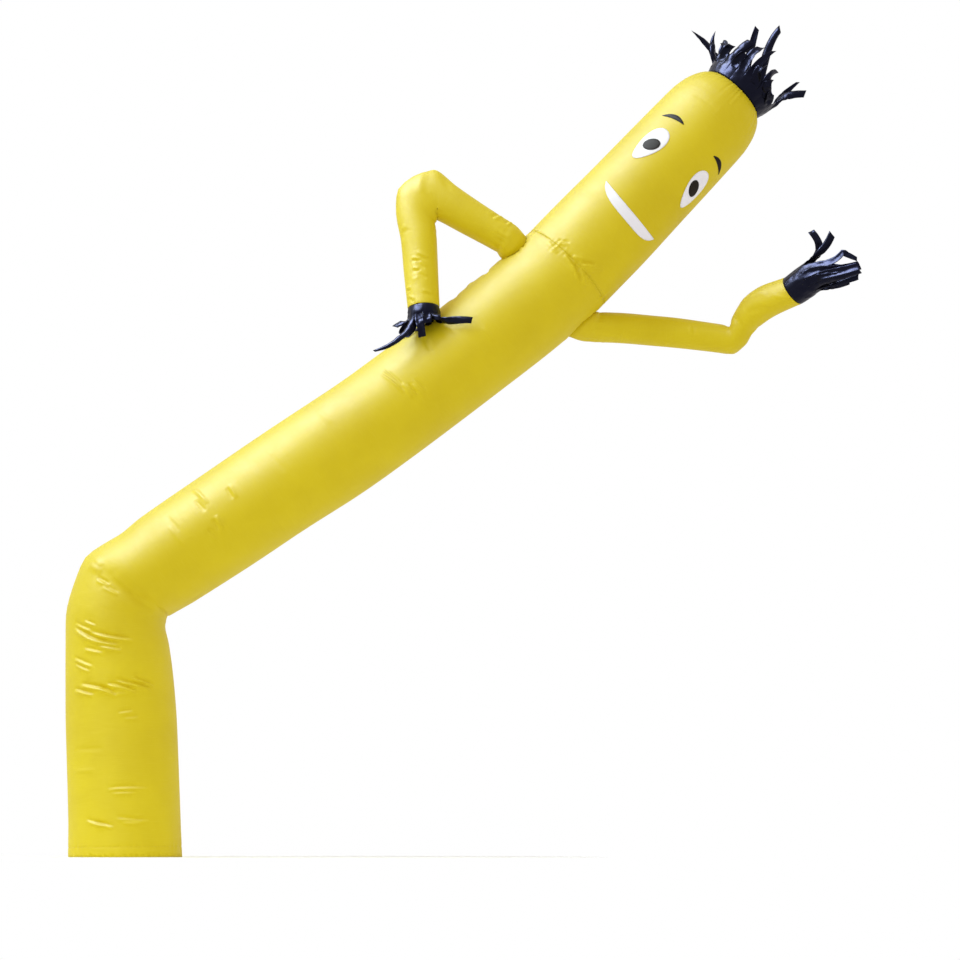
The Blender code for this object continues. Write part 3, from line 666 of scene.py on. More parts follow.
# ---- forms ----
class TubeForm:
    """The filled-out form of a tube, read from its table of sections at any path distance."""

    def __init__(self, rows: Sequence[Section]) -> None:
        """Fit a smooth curve, which never overshoots, through every column.

        Args:
            rows: the sections, from the tube's first end to its last.
        """
        self.table = np.array(rows, float)
        steps = np.linalg.norm(np.diff(self.table[:, :3], axis=0), axis=1)
        self.knots = np.concatenate([[0.0], np.cumsum(steps)])
        self.length = float(self.knots[-1])
        rises = np.diff(self.table, axis=0) / steps[:, None]
        product = rises[:-1] * rises[1:]
        total = rises[:-1] + rises[1:]
        inner = np.where(product > 0, 2 * product / np.where(product > 0, total, 1.0), 0.0)
        self.slopes = np.vstack([rises[:1], inner, rises[-1:]])

    def sections(self, stations: np.ndarray) -> np.ndarray:
        """The section's columns at each path distance.

        Args:
            stations: path distances, metres.

        Returns:
            One row of seven columns for each station.
        """
        span = np.searchsorted(self.knots[1:-1], stations, side="left")
        width = self.knots[span + 1] - self.knots[span]
        t = ((stations - self.knots[span]) / width)[:, None]
        start, end = self.table[span], self.table[span + 1]
        values = start * (2 * t ** 3 - 3 * t ** 2 + 1) + end * (3 * t ** 2 - 2 * t ** 3)
        leaving = self.slopes[span] * (t ** 3 - 2 * t ** 2 + t)
        arriving = self.slopes[span + 1] * (t ** 3 - t ** 2)
        return values + width[:, None] * (leaving + arriving)

    def points(self, stations: np.ndarray, angles: np.ndarray, lift: np.ndarray | float = 0.0) -> np.ndarray:
        """Points on the tube's skin.

        Args:
            stations: path distances, metres.
            angles: degrees from the viewer's side towards the across direction.
            lift: how far the points stand off the skin, metres.

        Returns:
            One point for each station and angle.
        """
        rows = self.sections(stations)
        heading, toward = np.radians(rows[:, 3]), np.radians(rows[:, 4])
        zero = np.zeros_like(heading)
        across = np.stack([np.sin(heading), zero, -np.cos(heading)], axis=1)
        front = np.stack(
            [-np.cos(heading) * np.sin(toward), -np.cos(toward), -np.sin(heading) * np.sin(toward)], axis=1)
        turn = np.radians(angles)
        sideways = ((rows[:, 5] + lift) * np.sin(turn))[:, None]
        forwards = ((rows[:, 6] + lift) * np.cos(turn))[:, None]
        return rows[:, :3] + across * sideways + front * forwards

    def end_axes(self, station: float) -> tuple[Vector, Vector, Vector, Vector, Section]:
        """Centre, across, front and along directions, and the section, at a station.

        Args:
            station: path distance, metres.

        Returns:
            The centre, the three directions and the section.
        """
        section = Section(*self.sections(np.array([station]))[0])
        heading, toward = math.radians(section.heading), math.radians(section.toward)
        flat_along = Vector((math.cos(heading), 0.0, math.sin(heading)))
        across = Vector((math.sin(heading), 0.0, -math.cos(heading)))
        viewer = Vector((0.0, -1.0, 0.0))
        along = flat_along * math.cos(toward) + viewer * math.sin(toward)
        front = viewer * math.cos(toward) - flat_along * math.sin(toward)
        return Vector(section[:3]), across, front, along, section


def wrap(angle: np.ndarray) -> np.ndarray:
    """Angles brought into -180 to 180 degrees."""
    return (angle + 180.0) % 360.0 - 180.0


class Relief:
    """What the creases and seams add to a tube's skin, and how fine the mesh has to be for them."""

    COARSE = 0.024            # metres; cell size of smooth cloth
    TUCK_GAIN = 2.33          # makes a tuck as high as its row says; x exp(-x^2) only reaches 1 / 2.33
    FELL_HEIGHT = 0.0012      # how far the doubled cloth of the back seam stands off
    FELL_HALF_WIDTH = 0.007
    FELL_REACH = 0.012        # how far from the seam its fine mesh goes
    FELL_CELL = 0.007
    SWELL = 0.0011            # height of the widest unevenness

    def __init__(self, metres_per_degree: float, creases: Sequence[Crease] = (),
                 seams: Sequence[GatheredSeam] = (), sleeve_rings: Sequence["SewnRing"] = (),
                 offset: float = 0.0) -> None:
        """Keep the features.

        Args:
            metres_per_degree: distance round the tube for each degree.
            creases: the listed creases.
            seams: gathered seams round the tube.
            sleeve_rings: closed seams where a sleeve is sewn on.
            offset: path distance already covered by the tube that this one is sewn to.
        """
        self.scale = metres_per_degree
        self.creases = creases
        self.seams = seams
        self.rings = sleeve_rings
        self.offset = offset

    def _crease_distances(self, crease: Crease, stations: np.ndarray,
                          angles: np.ndarray) -> tuple[np.ndarray, np.ndarray]:
        """Where points lie beside a crease.

        Args:
            crease: the crease.
            stations: path distances, metres.
            angles: degrees round the tube.

        Returns:
            Signed distance across the crease, metres, and the share of its length, for each point.
        """
        run = Vector(((crease.end_angle - crease.angle) * self.scale, crease.end_station - crease.station))
        length = run.length
        x = wrap(angles - (crease.angle + crease.end_angle) / 2) * self.scale + run.x / 2
        y = stations - crease.station
        share = (x * run.x + y * run.y) / length ** 2
        away = (y * run.x - x * run.y) / length * math.copysign(1.0, run.x)
        return away - crease.bow * 4 * share * (1 - share), share

    def heights(self, stations: np.ndarray, angles: np.ndarray) -> np.ndarray:
        """How far the cloth stands off the smooth skin at each point, metres.

        Args:
            stations: path distances, metres.
            angles: degrees round the tube.

        Returns:
            One height for each point.
        """
        total = np.zeros_like(stations)
        for crease in self.creases:
            away, share = self._crease_distances(crease, stations, angles)
            fade = np.clip(1 - np.abs(2 * share - 1) ** 3, 0, None)
            across = away / crease.width
            bell = np.exp(-across ** 2)
            if crease.shape is RIDGE:
                total += crease.height * bell * fade
            elif crease.shape is TROUGH:
                total -= crease.height * bell * fade
            else:
                total -= crease.height * self.TUCK_GAIN * across * bell * fade
        for seam in self.seams:
            total += self._gathers(seam, stations, angles)
        for ring in self.rings:
            total += ring.heights(stations, angles, self.scale)
        return total + self._back_seam(angles) + self._unevenness(stations + self.offset, angles)

    def _gathers(self, seam: GatheredSeam, stations: np.ndarray, angles: np.ndarray) -> np.ndarray:
        """A drawn-in line of stitches with puckers of uneven height and reach beside it.

        Args:
            seam: the seam.
            stations: path distances, metres.
            angles: degrees round the tube.

        Returns:
            One height for each point.
        """
        away = np.abs(stations - seam.station)
        turn = np.radians(angles)
        draw = random.Random(seam.seed)
        waves = np.zeros_like(turn)
        for share in (1.0, 0.62, 1.45):
            waves += np.sin(round(seam.puckers * share) * turn + draw.uniform(0, 2 * math.pi))
        uneven = 1 + 0.7 * np.sin(round(seam.puckers * 0.17) * turn + draw.uniform(0, 2 * math.pi))
        groove = -seam.groove * np.exp(-(away / seam.groove_width) ** 2)
        puckers = seam.pucker * waves / 3 * uneven * np.exp(-away / (seam.reach * (0.6 + 0.4 * uneven)))
        return groove + puckers

    def _back_seam(self, angles: np.ndarray) -> np.ndarray:
        """The felled seam down the back: a flat ridge of doubled cloth."""
        away = np.abs(wrap(angles - BACK_SEAM)) * self.scale
        return self.FELL_HEIGHT / (1 + (away / self.FELL_HALF_WIDTH) ** 8)

    def _unevenness(self, stations: np.ndarray, angles: np.ndarray) -> np.ndarray:
        """Wide, shallow swells, because air doesn't fill cloth to a perfect round.

        Args:
            stations: path distances, metres.
            angles: degrees round the tube.

        Returns:
            One height for each point.
        """
        turn = np.radians(angles)
        swell = np.sin(2 * turn + 3.1 * stations) * np.sin(4.3 * stations + 0.8)
        swell += 0.6 * np.sin(3 * turn - 7.9 * stations + 1.2)
        swell += 0.35 * np.sin(5 * turn + 13.0 * stations + 2.0)
        return self.SWELL * swell

    def wanted_cell(self, stations: np.ndarray, angles: np.ndarray) -> np.ndarray:
        """The mesh cell size that the relief needs at each point, metres.

        Args:
            stations: path distances, metres.
            angles: degrees round the tube.

        Returns:
            One cell size for each point.
        """
        cell = np.full_like(stations, self.COARSE)
        for crease in self.creases:
            away, share = self._crease_distances(crease, stations, angles)
            near = (np.abs(away) < 2.3 * crease.width) & (share > -0.04) & (share < 1.04)
            cell = np.where(near, np.minimum(cell, crease.width / 2.4), cell)
        for seam in self.seams:
            near = np.abs(stations - seam.station) < 1.6 * seam.reach
            cell = np.where(near, np.minimum(cell, 360 * self.scale / seam.puckers / 5), cell)
            near = np.abs(stations - seam.station) < 2.2 * seam.groove_width
            cell = np.where(near, np.minimum(cell, seam.groove_width / 1.6), cell)
        for ring in self.rings:
            near = np.abs(ring.away(stations, angles, self.scale)) < ring.reach
            cell = np.where(near, np.minimum(cell, ring.cell), cell)
        near = np.abs(wrap(angles - BACK_SEAM)) * self.scale < self.FELL_REACH
        return np.where(near, np.minimum(cell, self.FELL_CELL), cell)


@dataclass(frozen=True)
class SewnRing:
    """The closed seam where a sleeve is sewn to the body, and the hole inside it."""

    station: float
    angle: float
    radius: float
    groove: float = 0.003
    pucker: float = 0.0030
    puckers: int = 17
    reach: float = 0.045
    cell: float = 0.006
    hole_margin: float = 0.008

    def polar(self, stations: np.ndarray, angles: np.ndarray, scale: float) -> tuple[np.ndarray, np.ndarray]:
        """Distance from the ring's middle, and the direction, for each point."""
        x, y = wrap(angles - self.angle) * scale, stations - self.station
        return np.hypot(x, y), np.arctan2(y, x)

    def away(self, stations: np.ndarray, angles: np.ndarray, scale: float) -> np.ndarray:
        """Distance from the seam, above 0 outside it."""
        return self.polar(stations, angles, scale)[0] - self.radius

    def heights(self, stations: np.ndarray, angles: np.ndarray, scale: float) -> np.ndarray:
        """The drawn-in seam and the puckers that run out from it.

        Args:
            stations: path distances, metres.
            angles: degrees round the tube.
            scale: metres round the tube for each degree.

        Returns:
            One height for each point.
        """
        distance, direction = self.polar(stations, angles, scale)
        away = distance - self.radius
        waves = np.sin(self.puckers * direction) + 0.6 * np.sin(7 * direction + 1.0)
        uneven = 1 + 0.5 * np.sin(3 * direction + 0.6)
        outside = np.exp(-np.abs(away) / (0.35 * self.reach)) * (away > -0.004)
        return -self.groove * np.exp(-(away / 0.010) ** 2) + self.pucker * waves * uneven * outside / 1.6


# ---- mesh helpers ----
def deselect_all() -> None:
    """Deselect every object."""
    for item in bpy.context.view_layer.objects:
        item.select_set(False)


def add_piece(name: str, bm: bmesh.types.BMesh, material: bpy.types.Material,
              smooth_angle: float = 60.0) -> bpy.types.Object:
    """Put a finished bmesh into the scene as one shaded object at the origin.

    Args:
        name: the piece's name.
        bm: the mesh, which is freed.
        material: its finish.
        smooth_angle: degrees between faces, above which an edge is shaded sharp.

    Returns:
        The new object, selected and active.
    """
    mesh = bpy.data.meshes.new(name)
    bm.to_mesh(mesh)
    bm.free()
    mesh.materials.append(material)
    piece = bpy.data.objects.new(name, mesh)
    bpy.context.scene.collection.objects.link(piece)
    deselect_all()
    piece.select_set(True)
    bpy.context.view_layer.objects.active = piece
    bpy.ops.object.shade_smooth_by_angle(angle=math.radians(smooth_angle))
    return piece


def give_wall(piece: bpy.types.Object, thickness: float, offset: float) -> None:
    """Give a sheet its thickness with an applied Solidify.

    Args:
        piece: the sheet.
        thickness: metres.
        offset: -1 puts the wall inside the skin, 0 half on each side.
    """
    wall = piece.modifiers.new("cloth_thickness", "SOLIDIFY")
    wall.thickness = thickness
    wall.offset = offset
    wall.use_rim = True
    wall.use_quality_normals = False
    deselect_all()
    piece.select_set(True)
    bpy.context.view_layer.objects.active = piece
    bpy.ops.object.modifier_apply(modifier=wall.name)


def place_piece(piece: bpy.types.Object, node: str | None) -> None:
    """Let a piece ride on the figure and stand for its CAD node, which is hidden.

    Args:
        piece: the finished piece.
        node: the CAD node that it stands for, or None for what is added to one.
    """
    if node is not None:
        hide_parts(node)
    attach(piece, ROOT)
    LOG.info("%s: %d faces", piece.name, len(piece.data.polygons))


# ---- cloth tubes ----
@dataclass
class ClothTube:
    """A tube of cloth: cut flat, refined where it folds, rolled up and sewn down its back."""

    name: str
    node: str
    sections: Sequence[Section]
    creases: Sequence[Crease]
    seams: Sequence[GatheredSeam]
    start: float = 0.0
    sleeve_rings: Sequence[SewnRing] = ()
    girth: float = 2 * math.pi * BODY_RADIUS      # width of the flat cut
    offset: float = 0.0                           # path distance of the tube below this one
    form: TubeForm = field(init=False)
    relief: Relief = field(init=False)

    def __post_init__(self) -> None:
        """Read the form and the relief from the tables."""
        self.form = TubeForm(self.sections)
        self.relief = Relief(self.girth / 360, self.creases, self.seams, self.sleeve_rings, self.offset)

    @property
    def cut_length(self) -> float:
        """Length of the flat cut."""
        return self.form.length - self.start

    def place(self, stations: np.ndarray, angles: np.ndarray) -> np.ndarray:
        """Where points of the flat cut lie on the filled-out tube.

        Args:
            stations: path distances, metres.
            angles: degrees round the tube.

        Returns:
            One point for each.
        """
        return self.form.points(stations, angles, self.relief.heights(stations, angles))

    def build(self, material: bpy.types.Material) -> bpy.types.Object:
        """Cut, refine, roll up and sew the tube, and give its cloth a thickness.

        Args:
            material: the finish.

        Returns:
            The finished piece.
        """
        bm = self._flat_cut()
        self._refine(bm)
        self._cut_holes(bm)
        self._roll_up(bm)
        piece = add_piece(self.name, bm, material)
        give_wall(piece, CLOTH, -1.0)
        return piece

    def stitching(self, material: bpy.types.Material, rings: Sequence[float]) -> bpy.types.Object:
        """Two rows of stitches down the back seam, and a row round the tube at each given path distance.

        Args:
            material: the thread.
            rings: path distances of the rows that go round.

        Returns:
            The finished piece.
        """
        bm = bmesh.new()
        begin, end = self.start + STITCH_PITCH, self.form.length - STITCH_PITCH
        down = np.arange(begin, end, STITCH_PITCH)
        for side in (-1, 1):
            angle = BACK_SEAM + side * SEAM_ROW / self.girth * 360
            self._stitch_row(bm, down, np.full_like(down, angle))
        round_tube = np.linspace(BACK_SEAM, BACK_SEAM + 360, int(self.girth / STITCH_PITCH), endpoint=False)
        for station in rings:
            self._stitch_row(bm, np.full_like(round_tube, station), round_tube)
        return add_piece(self.name.replace("cloth", "stitching"), bm, material)

    def _stitch_row(self, bm: bmesh.types.BMesh, stations: np.ndarray, angles: np.ndarray) -> None:
        """Stitches from each place towards the next, with a gap between them.

        Args:
            bm: the mesh that they go into.
            stations: path distances, metres.
            angles: degrees round the tube.
        """
        placed = self.form.points(stations, angles, self.relief.heights(stations, angles) + STITCH / 2)
        places = [Vector(point) for point in placed]
        for a, b in zip(places, places[1:]):
            add_bar(bm, a, a.lerp(b, STITCH_SHARE), STITCH / 2)

    def _flat_cut(self) -> bmesh.types.BMesh:
        """The cut cloth lying flat: x is the distance round the tube and y the path distance.

        Returns:
            A mesh of coarse, even cells.
        """
        bm = bmesh.new()
        columns = max(8, round(self.girth / Relief.COARSE))
        rows = max(8, round(self.cut_length / Relief.COARSE))
        grid = [
            [bm.verts.new((self.girth * i / columns, self.start + self.cut_length * j / rows, 0.0))
             for i in range(columns + 1)]
            for j in range(rows + 1)]
        for lower, upper in zip(grid, grid[1:]):
            for i in range(columns):
                bm.faces.new((lower[i], lower[i + 1], upper[i + 1], upper[i]))
        return bm

    def _angles(self, x: np.ndarray) -> np.ndarray:
        """Angle round the tube of a distance across the flat cut."""
        return BACK_SEAM + x / self.girth * 360

    def _refine(self, bm: bmesh.types.BMesh) -> None:
        """Split the cells that are larger than the relief needs.

        Args:
            bm: the flat cut.
        """
        for _ in range(4):
            bm.faces.ensure_lookup_table()
            middles = np.array([face.calc_center_median() for face in bm.faces])
            sizes = np.sqrt(np.array([face.calc_area() for face in bm.faces]))
            wanted = self.relief.wanted_cell(middles[:, 1], self._angles(middles[:, 0]))
            large = np.nonzero(sizes > 1.35 * wanted)[0]
            if not len(large):
                return
            edges = {edge for index in large for edge in bm.faces[index].edges}
            bmesh.ops.subdivide_edges(
                bm, edges=sorted(edges, key=lambda e: e.index), cuts=1, use_grid_fill=True)
            bm.faces.index_update()
            bm.edges.index_update()

    def _cut_holes(self, bm: bmesh.types.BMesh) -> None:
        """Cut the holes through which air passes into the sleeves, and round their edges.

        Args:
            bm: the flat cut.
        """
        for ring in self.sleeve_rings:
            radius = ring.radius - ring.hole_margin
            inside = []
            for face in bm.faces:
                x, y, _ = face.calc_center_median()
                reach = ring.away(np.array([y]), self._angles(np.array([x])), self.relief.scale)[0]
                if reach < radius - ring.radius:
                    inside.append(face)
            edge = {v for face in inside for v in face.verts if any(f not in inside for f in v.link_faces)}
            bmesh.ops.delete(bm, geom=inside, context="FACES")
            for vertex in edge:
                if not vertex.is_valid:
                    continue
                x, y, _ = vertex.co
                distance, direction = ring.polar(
                    np.array([y]), self._angles(np.array([x])), self.relief.scale)
                shift = radius - distance[0]
                vertex.co.x += shift * math.cos(direction[0])
                vertex.co.y += shift * math.sin(direction[0])

    def _roll_up(self, bm: bmesh.types.BMesh) -> None:
        """Keep the flat places as the cloth's UV map, fill the tube out and sew its back.

        Args:
            bm: the flat cut.
        """
        uv = bm.loops.layers.uv.new(CLOTH_UV)
        for face in bm.faces:
            for loop in face.loops:
                loop[uv].uv = loop.vert.co.xy
        bm.verts.ensure_lookup_table()
        flat = np.array([vertex.co for vertex in bm.verts])
        placed = self.place(flat[:, 1], self._angles(flat[:, 0]))
        for vertex, point in zip(bm.verts, placed):
            vertex.co = point
        edge = [v for v, co in zip(bm.verts, flat) if co[0] < 1e-6 or co[0] > self.girth - 1e-6]
        bmesh.ops.remove_doubles(bm, verts=edge, dist=SMALLEST)
        bmesh.ops.recalc_face_normals(bm, faces=bm.faces)


@dataclass
class Sleeve(ClothTube):
    """A sleeve: a tube whose first edge is sewn to the round of the body."""

    body: ClothTube | None = None
    root_angle: float = 0.0
    side: int = 1
    root_radius: float = 0.074
    below_seam: float = 0.112
    root_fullness: float = 0.004                  # how far the air fills out the cloth at the root
    root_length: float = field(init=False, default=0.0)

    def __post_init__(self) -> None:
        """Add the stretch from the body to the first section to the flat cut."""
        super().__post_init__()
        turns = np.arange(0.0, 360.0, 15.0)
        sewn = self.sewn_edge(turns)
        first = self.form.points(np.zeros_like(turns), turns)
        self.root_length = float(np.linalg.norm(first - sewn, axis=1).mean())
        self.start = -self.root_length

    def sewn_edge(self, turns: np.ndarray, lift: float = SLEEVE_LIFT) -> np.ndarray:
        """The line on the body that the sleeve is sewn to.

        Args:
            turns: degrees round the sleeve.
            lift: how far it stands off the body, metres.

        Returns:
            One point for each turn.
        """
        turn = np.radians(turns)
        station = self.body.form.length - self.below_seam + self.side * self.root_radius * np.sin(turn)
        angle = self.root_angle + self.side * np.degrees(
            self.root_radius * np.cos(turn) / BODY_SECTIONS[-1].half_width)
        return self.body.form.points(station, angle, self.body.relief.heights(station, angle) + lift)

    def place(self, stations: np.ndarray, angles: np.ndarray) -> np.ndarray:
        """Where points of the flat cut lie: on the form, or between it and the sewn edge.

        Args:
            stations: path distances, metres.
            angles: degrees round the tube.

        Returns:
            One point for each.
        """
        height = self.relief.heights(stations, angles)
        on_form = self.form.points(np.maximum(stations, 0.0), angles, height)
        share = np.clip(1 + stations / self.root_length, 0.0, 1.0)[:, None]
        fullness = (4 * share * (1 - share))[:, 0] * self.root_fullness
        first = self.form.points(np.zeros_like(angles), angles, height + fullness)
        rooted = self.sewn_edge(angles) * (1 - share) + first * share
        return np.where((stations < 0)[:, None], rooted, on_form)


# ---- fringes ----
class Strip(NamedTuple):
    """A cut strip: where it leaves its band, its tip and the handle that bends it there, and its own shape.

    Tip and handle are measured from the ring's centre: across, towards the viewer, and along the tube.
    """

    angle: float
    width: float
    tip_across: float
    tip_toward: float
    tip_along: float
    handle_across: float
    handle_toward: float
    handle_along: float
    facing: float = 0.0       # degrees, at its tip, between the way its flat side looks and the viewer
    tip_width: float = 0.0    # 0 keeps the strip's width
    slant: float = 0.0        # metres that one corner of its tip stands out further
    flap: tuple[float, float, float] | None = None    # where its end reaches, folded over sharply at the tip


@dataclass
class Fringe:
    """A band of glossy cloth with strips cut in its far edge, all one piece."""

    name: str
    node: str
    form: TubeForm
    band: float
    flare: float
    strips: Sequence[Strip]
    seed: int
    rests_on: TubeForm | None = None
    clearance: float = 0.004
    strip_steps: int = 26
    flap_steps: int = 9
    taper: float = 2.2        # a strip keeps its width for longer where this is larger
    strip_columns: int = 6
    cup: float = 0.20         # how far a strip's middle stands off its edges, as a share of its width
    crumple: float = 0.0060
    crumple_size: float = 0.030

    def build(self, material: bpy.types.Material) -> bpy.types.Object:
        """Make the band and its strips, and give the cloth a thickness.

        Args:
            material: the finish.

        Returns:
            The finished piece.
        """
        centre, across, front, along, section = self.form.end_axes(self.form.length)
        self.axes = (centre, across, front, along)
        self.half = (section.half_width - CLOTH / 2, section.half_depth - CLOTH / 2)
        bm = bmesh.new()
        uv = bm.loops.layers.uv.new(CLOTH_UV)
        self._draw = random.Random(self.seed)
        rows = self._band(bm, uv)
        for index, strip in enumerate(self.strips):
            first = index * (self.strip_columns + 1)
            self._strip(bm, uv, strip, rows[first:first + self.strip_columns + 1])
        bmesh.ops.recalc_face_normals(bm, faces=bm.faces)
        piece = add_piece(self.name, bm, material, smooth_angle=75.0)
        give_wall(piece, TRIM_CLOTH, 0.0)
        return piece

    def _ring_point(self, angle: float, scale: float, reach: float) -> Vector:
        """A point on the band.

        Args:
            angle: degrees round the ring.
            scale: how much wider than the ring the band is there.
            reach: distance along the tube from the ring, metres.

        Returns:
            The point.
        """
        centre, across, front, along = self.axes
        turn = math.radians(angle)
        return (
            centre + along * reach
            + across * self.half[0] * scale * math.sin(turn)
            + front * self.half[1] * scale * math.cos(turn))

    def _band(self, bm: bmesh.types.BMesh, uv: bmesh.types.BMLayerItem) -> list[bmesh.types.BMVert]:
        """The closed band, crumpled towards its far edge.

        Args:
            bm: the mesh that it goes into.
            uv: the UV map.

        Returns:
            The vertices of its far edge, from which the strips go on.
        """
        angles = []
        radius = (self.half[0] + self.half[1]) / 2
        for strip in self.strips:
            half = math.degrees(strip.width / 2 / (radius * self.flare))
            for column in range(self.strip_columns + 1):
                angles.append(strip.angle - half + 2 * half * column / self.strip_columns)
        steps = max(3, round(self.band / 0.008))
        rows = []
        for step in range(steps + 1):
            share = step / steps
            scale = 1 + (self.flare - 1) * share
            row = []
            for angle in angles:
                point = self._ring_point(angle, scale, FRINGE_GAP + self.band * share)
                outwards = (point - self.axes[0]).normalized()
                point += outwards * self._crumple_at(point) * min(1.0, 1.6 * share)
                row.append(bm.verts.new(self._clear(point)))
            rows.append(row)
        count = len(angles)
        for step, (lower, upper) in enumerate(zip(rows, rows[1:])):
            for i in range(count):
                j = (i + 1) % count
                face = bm.faces.new((lower[i], lower[j], upper[j], upper[i]))
                sides = (i, i + 1, i + 1, i)
                heights = (step, step, step + 1, step + 1)
                for loop, side, height in zip(face.loops, sides, heights):
                    loop[uv].uv = (side * 2 * math.pi * radius / count, height * self.band / steps)
        return rows[-1]

    def _crumple_at(self, point: Vector) -> float:
        """How far crumpling moves the cloth at a point, metres: creased facets rather than soft waves.

        Args:
            point: a place on the cloth.

        Returns:
            Metres off the smooth cloth.
        """
        first = noise.noise(point / self.crumple_size)
        second = noise.noise(point / self.crumple_size * 2.3 + Vector((5.0, 1.0, 3.0)))
        return self.crumple * (1.2 * (0.35 - abs(first)) + 0.5 * (0.35 - abs(second)))

    def _clear(self, point: Vector) -> Vector:
        """The point, moved outwards where it would lie in the tube that the fringe rests on.

        Args:
            point: a place on a strip.

        Returns:
            The same point, or one just outside that tube.
        """
        if self.rests_on is None:
            return point
        stations = np.linspace(0.0, self.rests_on.length, 170)
        rows = self.rests_on.sections(stations)
        nearest = int(np.argmin(np.linalg.norm(rows[:, :3] - np.array(point), axis=1)))
        centre, across, front, along, section = self.rests_on.end_axes(float(stations[nearest]))
        offset = point - centre
        if abs(offset.dot(along)) > BODY_RADIUS / 4:
            return point
        sideways, forwards = offset.dot(across), offset.dot(front)
        ratio = math.hypot(
            sideways / (section.half_width + self.clearance),
            forwards / (section.half_depth + self.clearance))
        if ratio >= 1.0:
            return point
        return point + (across * sideways + front * forwards) * (1.0 / ratio - 1.0)

    def _strip(self, bm: bmesh.types.BMesh, uv: bmesh.types.BMLayerItem, strip: Strip,
               root: Sequence[bmesh.types.BMVert]) -> None:
        """One strip: a ribbon along a curve from its root to its tip, cupped, turned and crumpled.

        Args:
            bm: the mesh that it goes into.
            uv: the UV map.
            strip: the strip.
            root: the vertices of the band that it goes on from.
        """
        start = (root[0].co + root[-1].co) / 2
        places = self._line(strip, start)
        frames = self._frames(places, (root[-1].co - root[0].co).normalized())
        turning = self._turn_to_face(frames[-1], strip.facing)
        cup = self.cup * self._draw.uniform(0.4, 1.5) * self._draw.choice((1, 1, -1))
        lift = Vector((self._draw.uniform(0, 9), self._draw.uniform(0, 9), self._draw.uniform(0, 9)))
        reach = sum((b - a).length for a, b in zip(places, places[1:]))
        previous = list(root)
        for step in range(1, self.strip_steps + 1):
            t = step / self.strip_steps
            tangent, side = frames[step]
            lying = Quaternion(tangent, turning * t * t * (3 - 2 * t)) @ side
            standing = tangent.cross(lying)
            width = strip.width + ((strip.tip_width or strip.width) - strip.width) * t ** self.taper
            row = []
            for column in range(self.strip_columns + 1):
                s = 2 * column / self.strip_columns - 1
                slip = strip.slant * s * max(0.0, (t - 0.8) / 0.2)
                point = places[step] + lying * width / 2 * s + tangent * slip
                calm = 1.0 if t < 0.9 else 0.5
                bulge = cup * width * (0.6 - s * s) + self._crumple_at(point + lift) * calm
                row.append(bm.verts.new(self._clear(point + standing * bulge * min(1.0, 4 * t))))
            for column in range(self.strip_columns):
                face = bm.faces.new((previous[column], previous[column + 1], row[column + 1], row[column]))
                sides = (column, column + 1, column + 1, column)
                heights = (step - 1, step - 1, step, step)
                for loop, side_index, height in zip(face.loops, sides, heights):
                    loop[uv].uv = (
                        strip.angle * 0.002 + side_index * strip.width / self.strip_columns,
                        self.band + height * reach / self.strip_steps)
            previous = row

    def _line(self, strip: Strip, start: Vector) -> list[Vector]:
        """The places along a strip's middle, from its root to its end.

        Args:
            strip: the strip.
            start: where its root's middle is.

        Returns:
            One place more than there are steps in a strip.
        """
        points = self._curve(strip, start)
        bent = self.strip_steps - (self.flap_steps if strip.flap else 0)
        places = [self._bezier(points, step / bent) for step in range(bent + 1)]
        if strip.flap:
            centre, across, front, along = self.axes
            end = centre + across * strip.flap[0] + front * strip.flap[1] + along * strip.flap[2]
            places += [points[-1].lerp(end, (step + 1) / self.flap_steps) for step in range(self.flap_steps)]
        return places

    def _curve(self, strip: Strip, start: Vector) -> list[Vector]:
        """The four points of a strip's line.

        Args:
            strip: the strip.
            start: where its root's middle is.

        Returns:
            The start, two handles and the tip.
        """
        centre, across, front, along = self.axes
        tip = centre + across * strip.tip_across + front * strip.tip_toward + along * strip.tip_along
        handle = (
            centre + across * strip.handle_across + front * strip.handle_toward
            + along * strip.handle_along)
        outwards = (start - centre) - along * (start - centre).dot(along)
        leaving = (along + outwards.normalized() * (self.flare - 1) * 2).normalized()
        return [start, start + leaving * (tip - start).length * 0.3, handle, tip]

    @staticmethod
    def _frames(places: Sequence[Vector], side: Vector) -> list[tuple[Vector, Vector]]:
        """The direction of a line and a side direction, carried along it without turning, at each place.

        Args:
            places: places along the line.
            side: the side direction at its start.

        Returns:
            Both directions for each place.
        """
        frames = []
        tangent = (places[1] - places[0]).normalized()
        for index in range(len(places)):
            before, after = places[max(index - 1, 0)], places[min(index + 1, len(places) - 1)]
            turned = (after - before).normalized()
            side = tangent.rotation_difference(turned) @ side
            side = (side - turned * side.dot(turned)).normalized()
            tangent = turned
            frames.append((tangent, side.copy()))
        return frames

    @staticmethod
    def _turn_to_face(frame_at_tip: tuple[Vector, Vector], facing: float) -> float:
        """Radians that a strip turns about its line so that its flat side looks the way it should.

        Args:
            frame_at_tip: direction and side direction at its tip.
            facing: degrees between the way its flat side looks and the viewer.

        Returns:
            The turn, never more than a quarter.
        """
        tangent, side = frame_at_tip
        looks = Quaternion(tangent, math.radians(facing)) @ Vector((0.0, -1.0, 0.0))
        wanted = looks.cross(tangent)
        if wanted.length < 0.2:
            return 0.0
        wanted.normalize()
        turn = math.atan2(side.cross(wanted).dot(tangent), side.dot(wanted))
        if abs(turn) > math.pi / 2:
            turn -= math.copysign(math.pi, turn)
        return turn

    @staticmethod
    def _bezier(points: Sequence[Vector], t: float) -> Vector:
        """A point on the cubic curve of four points."""
        a, b, c, d = points
        return a * (1 - t) ** 3 + b * 3 * t * (1 - t) ** 2 + c * 3 * t * t * (1 - t) + d * t ** 3

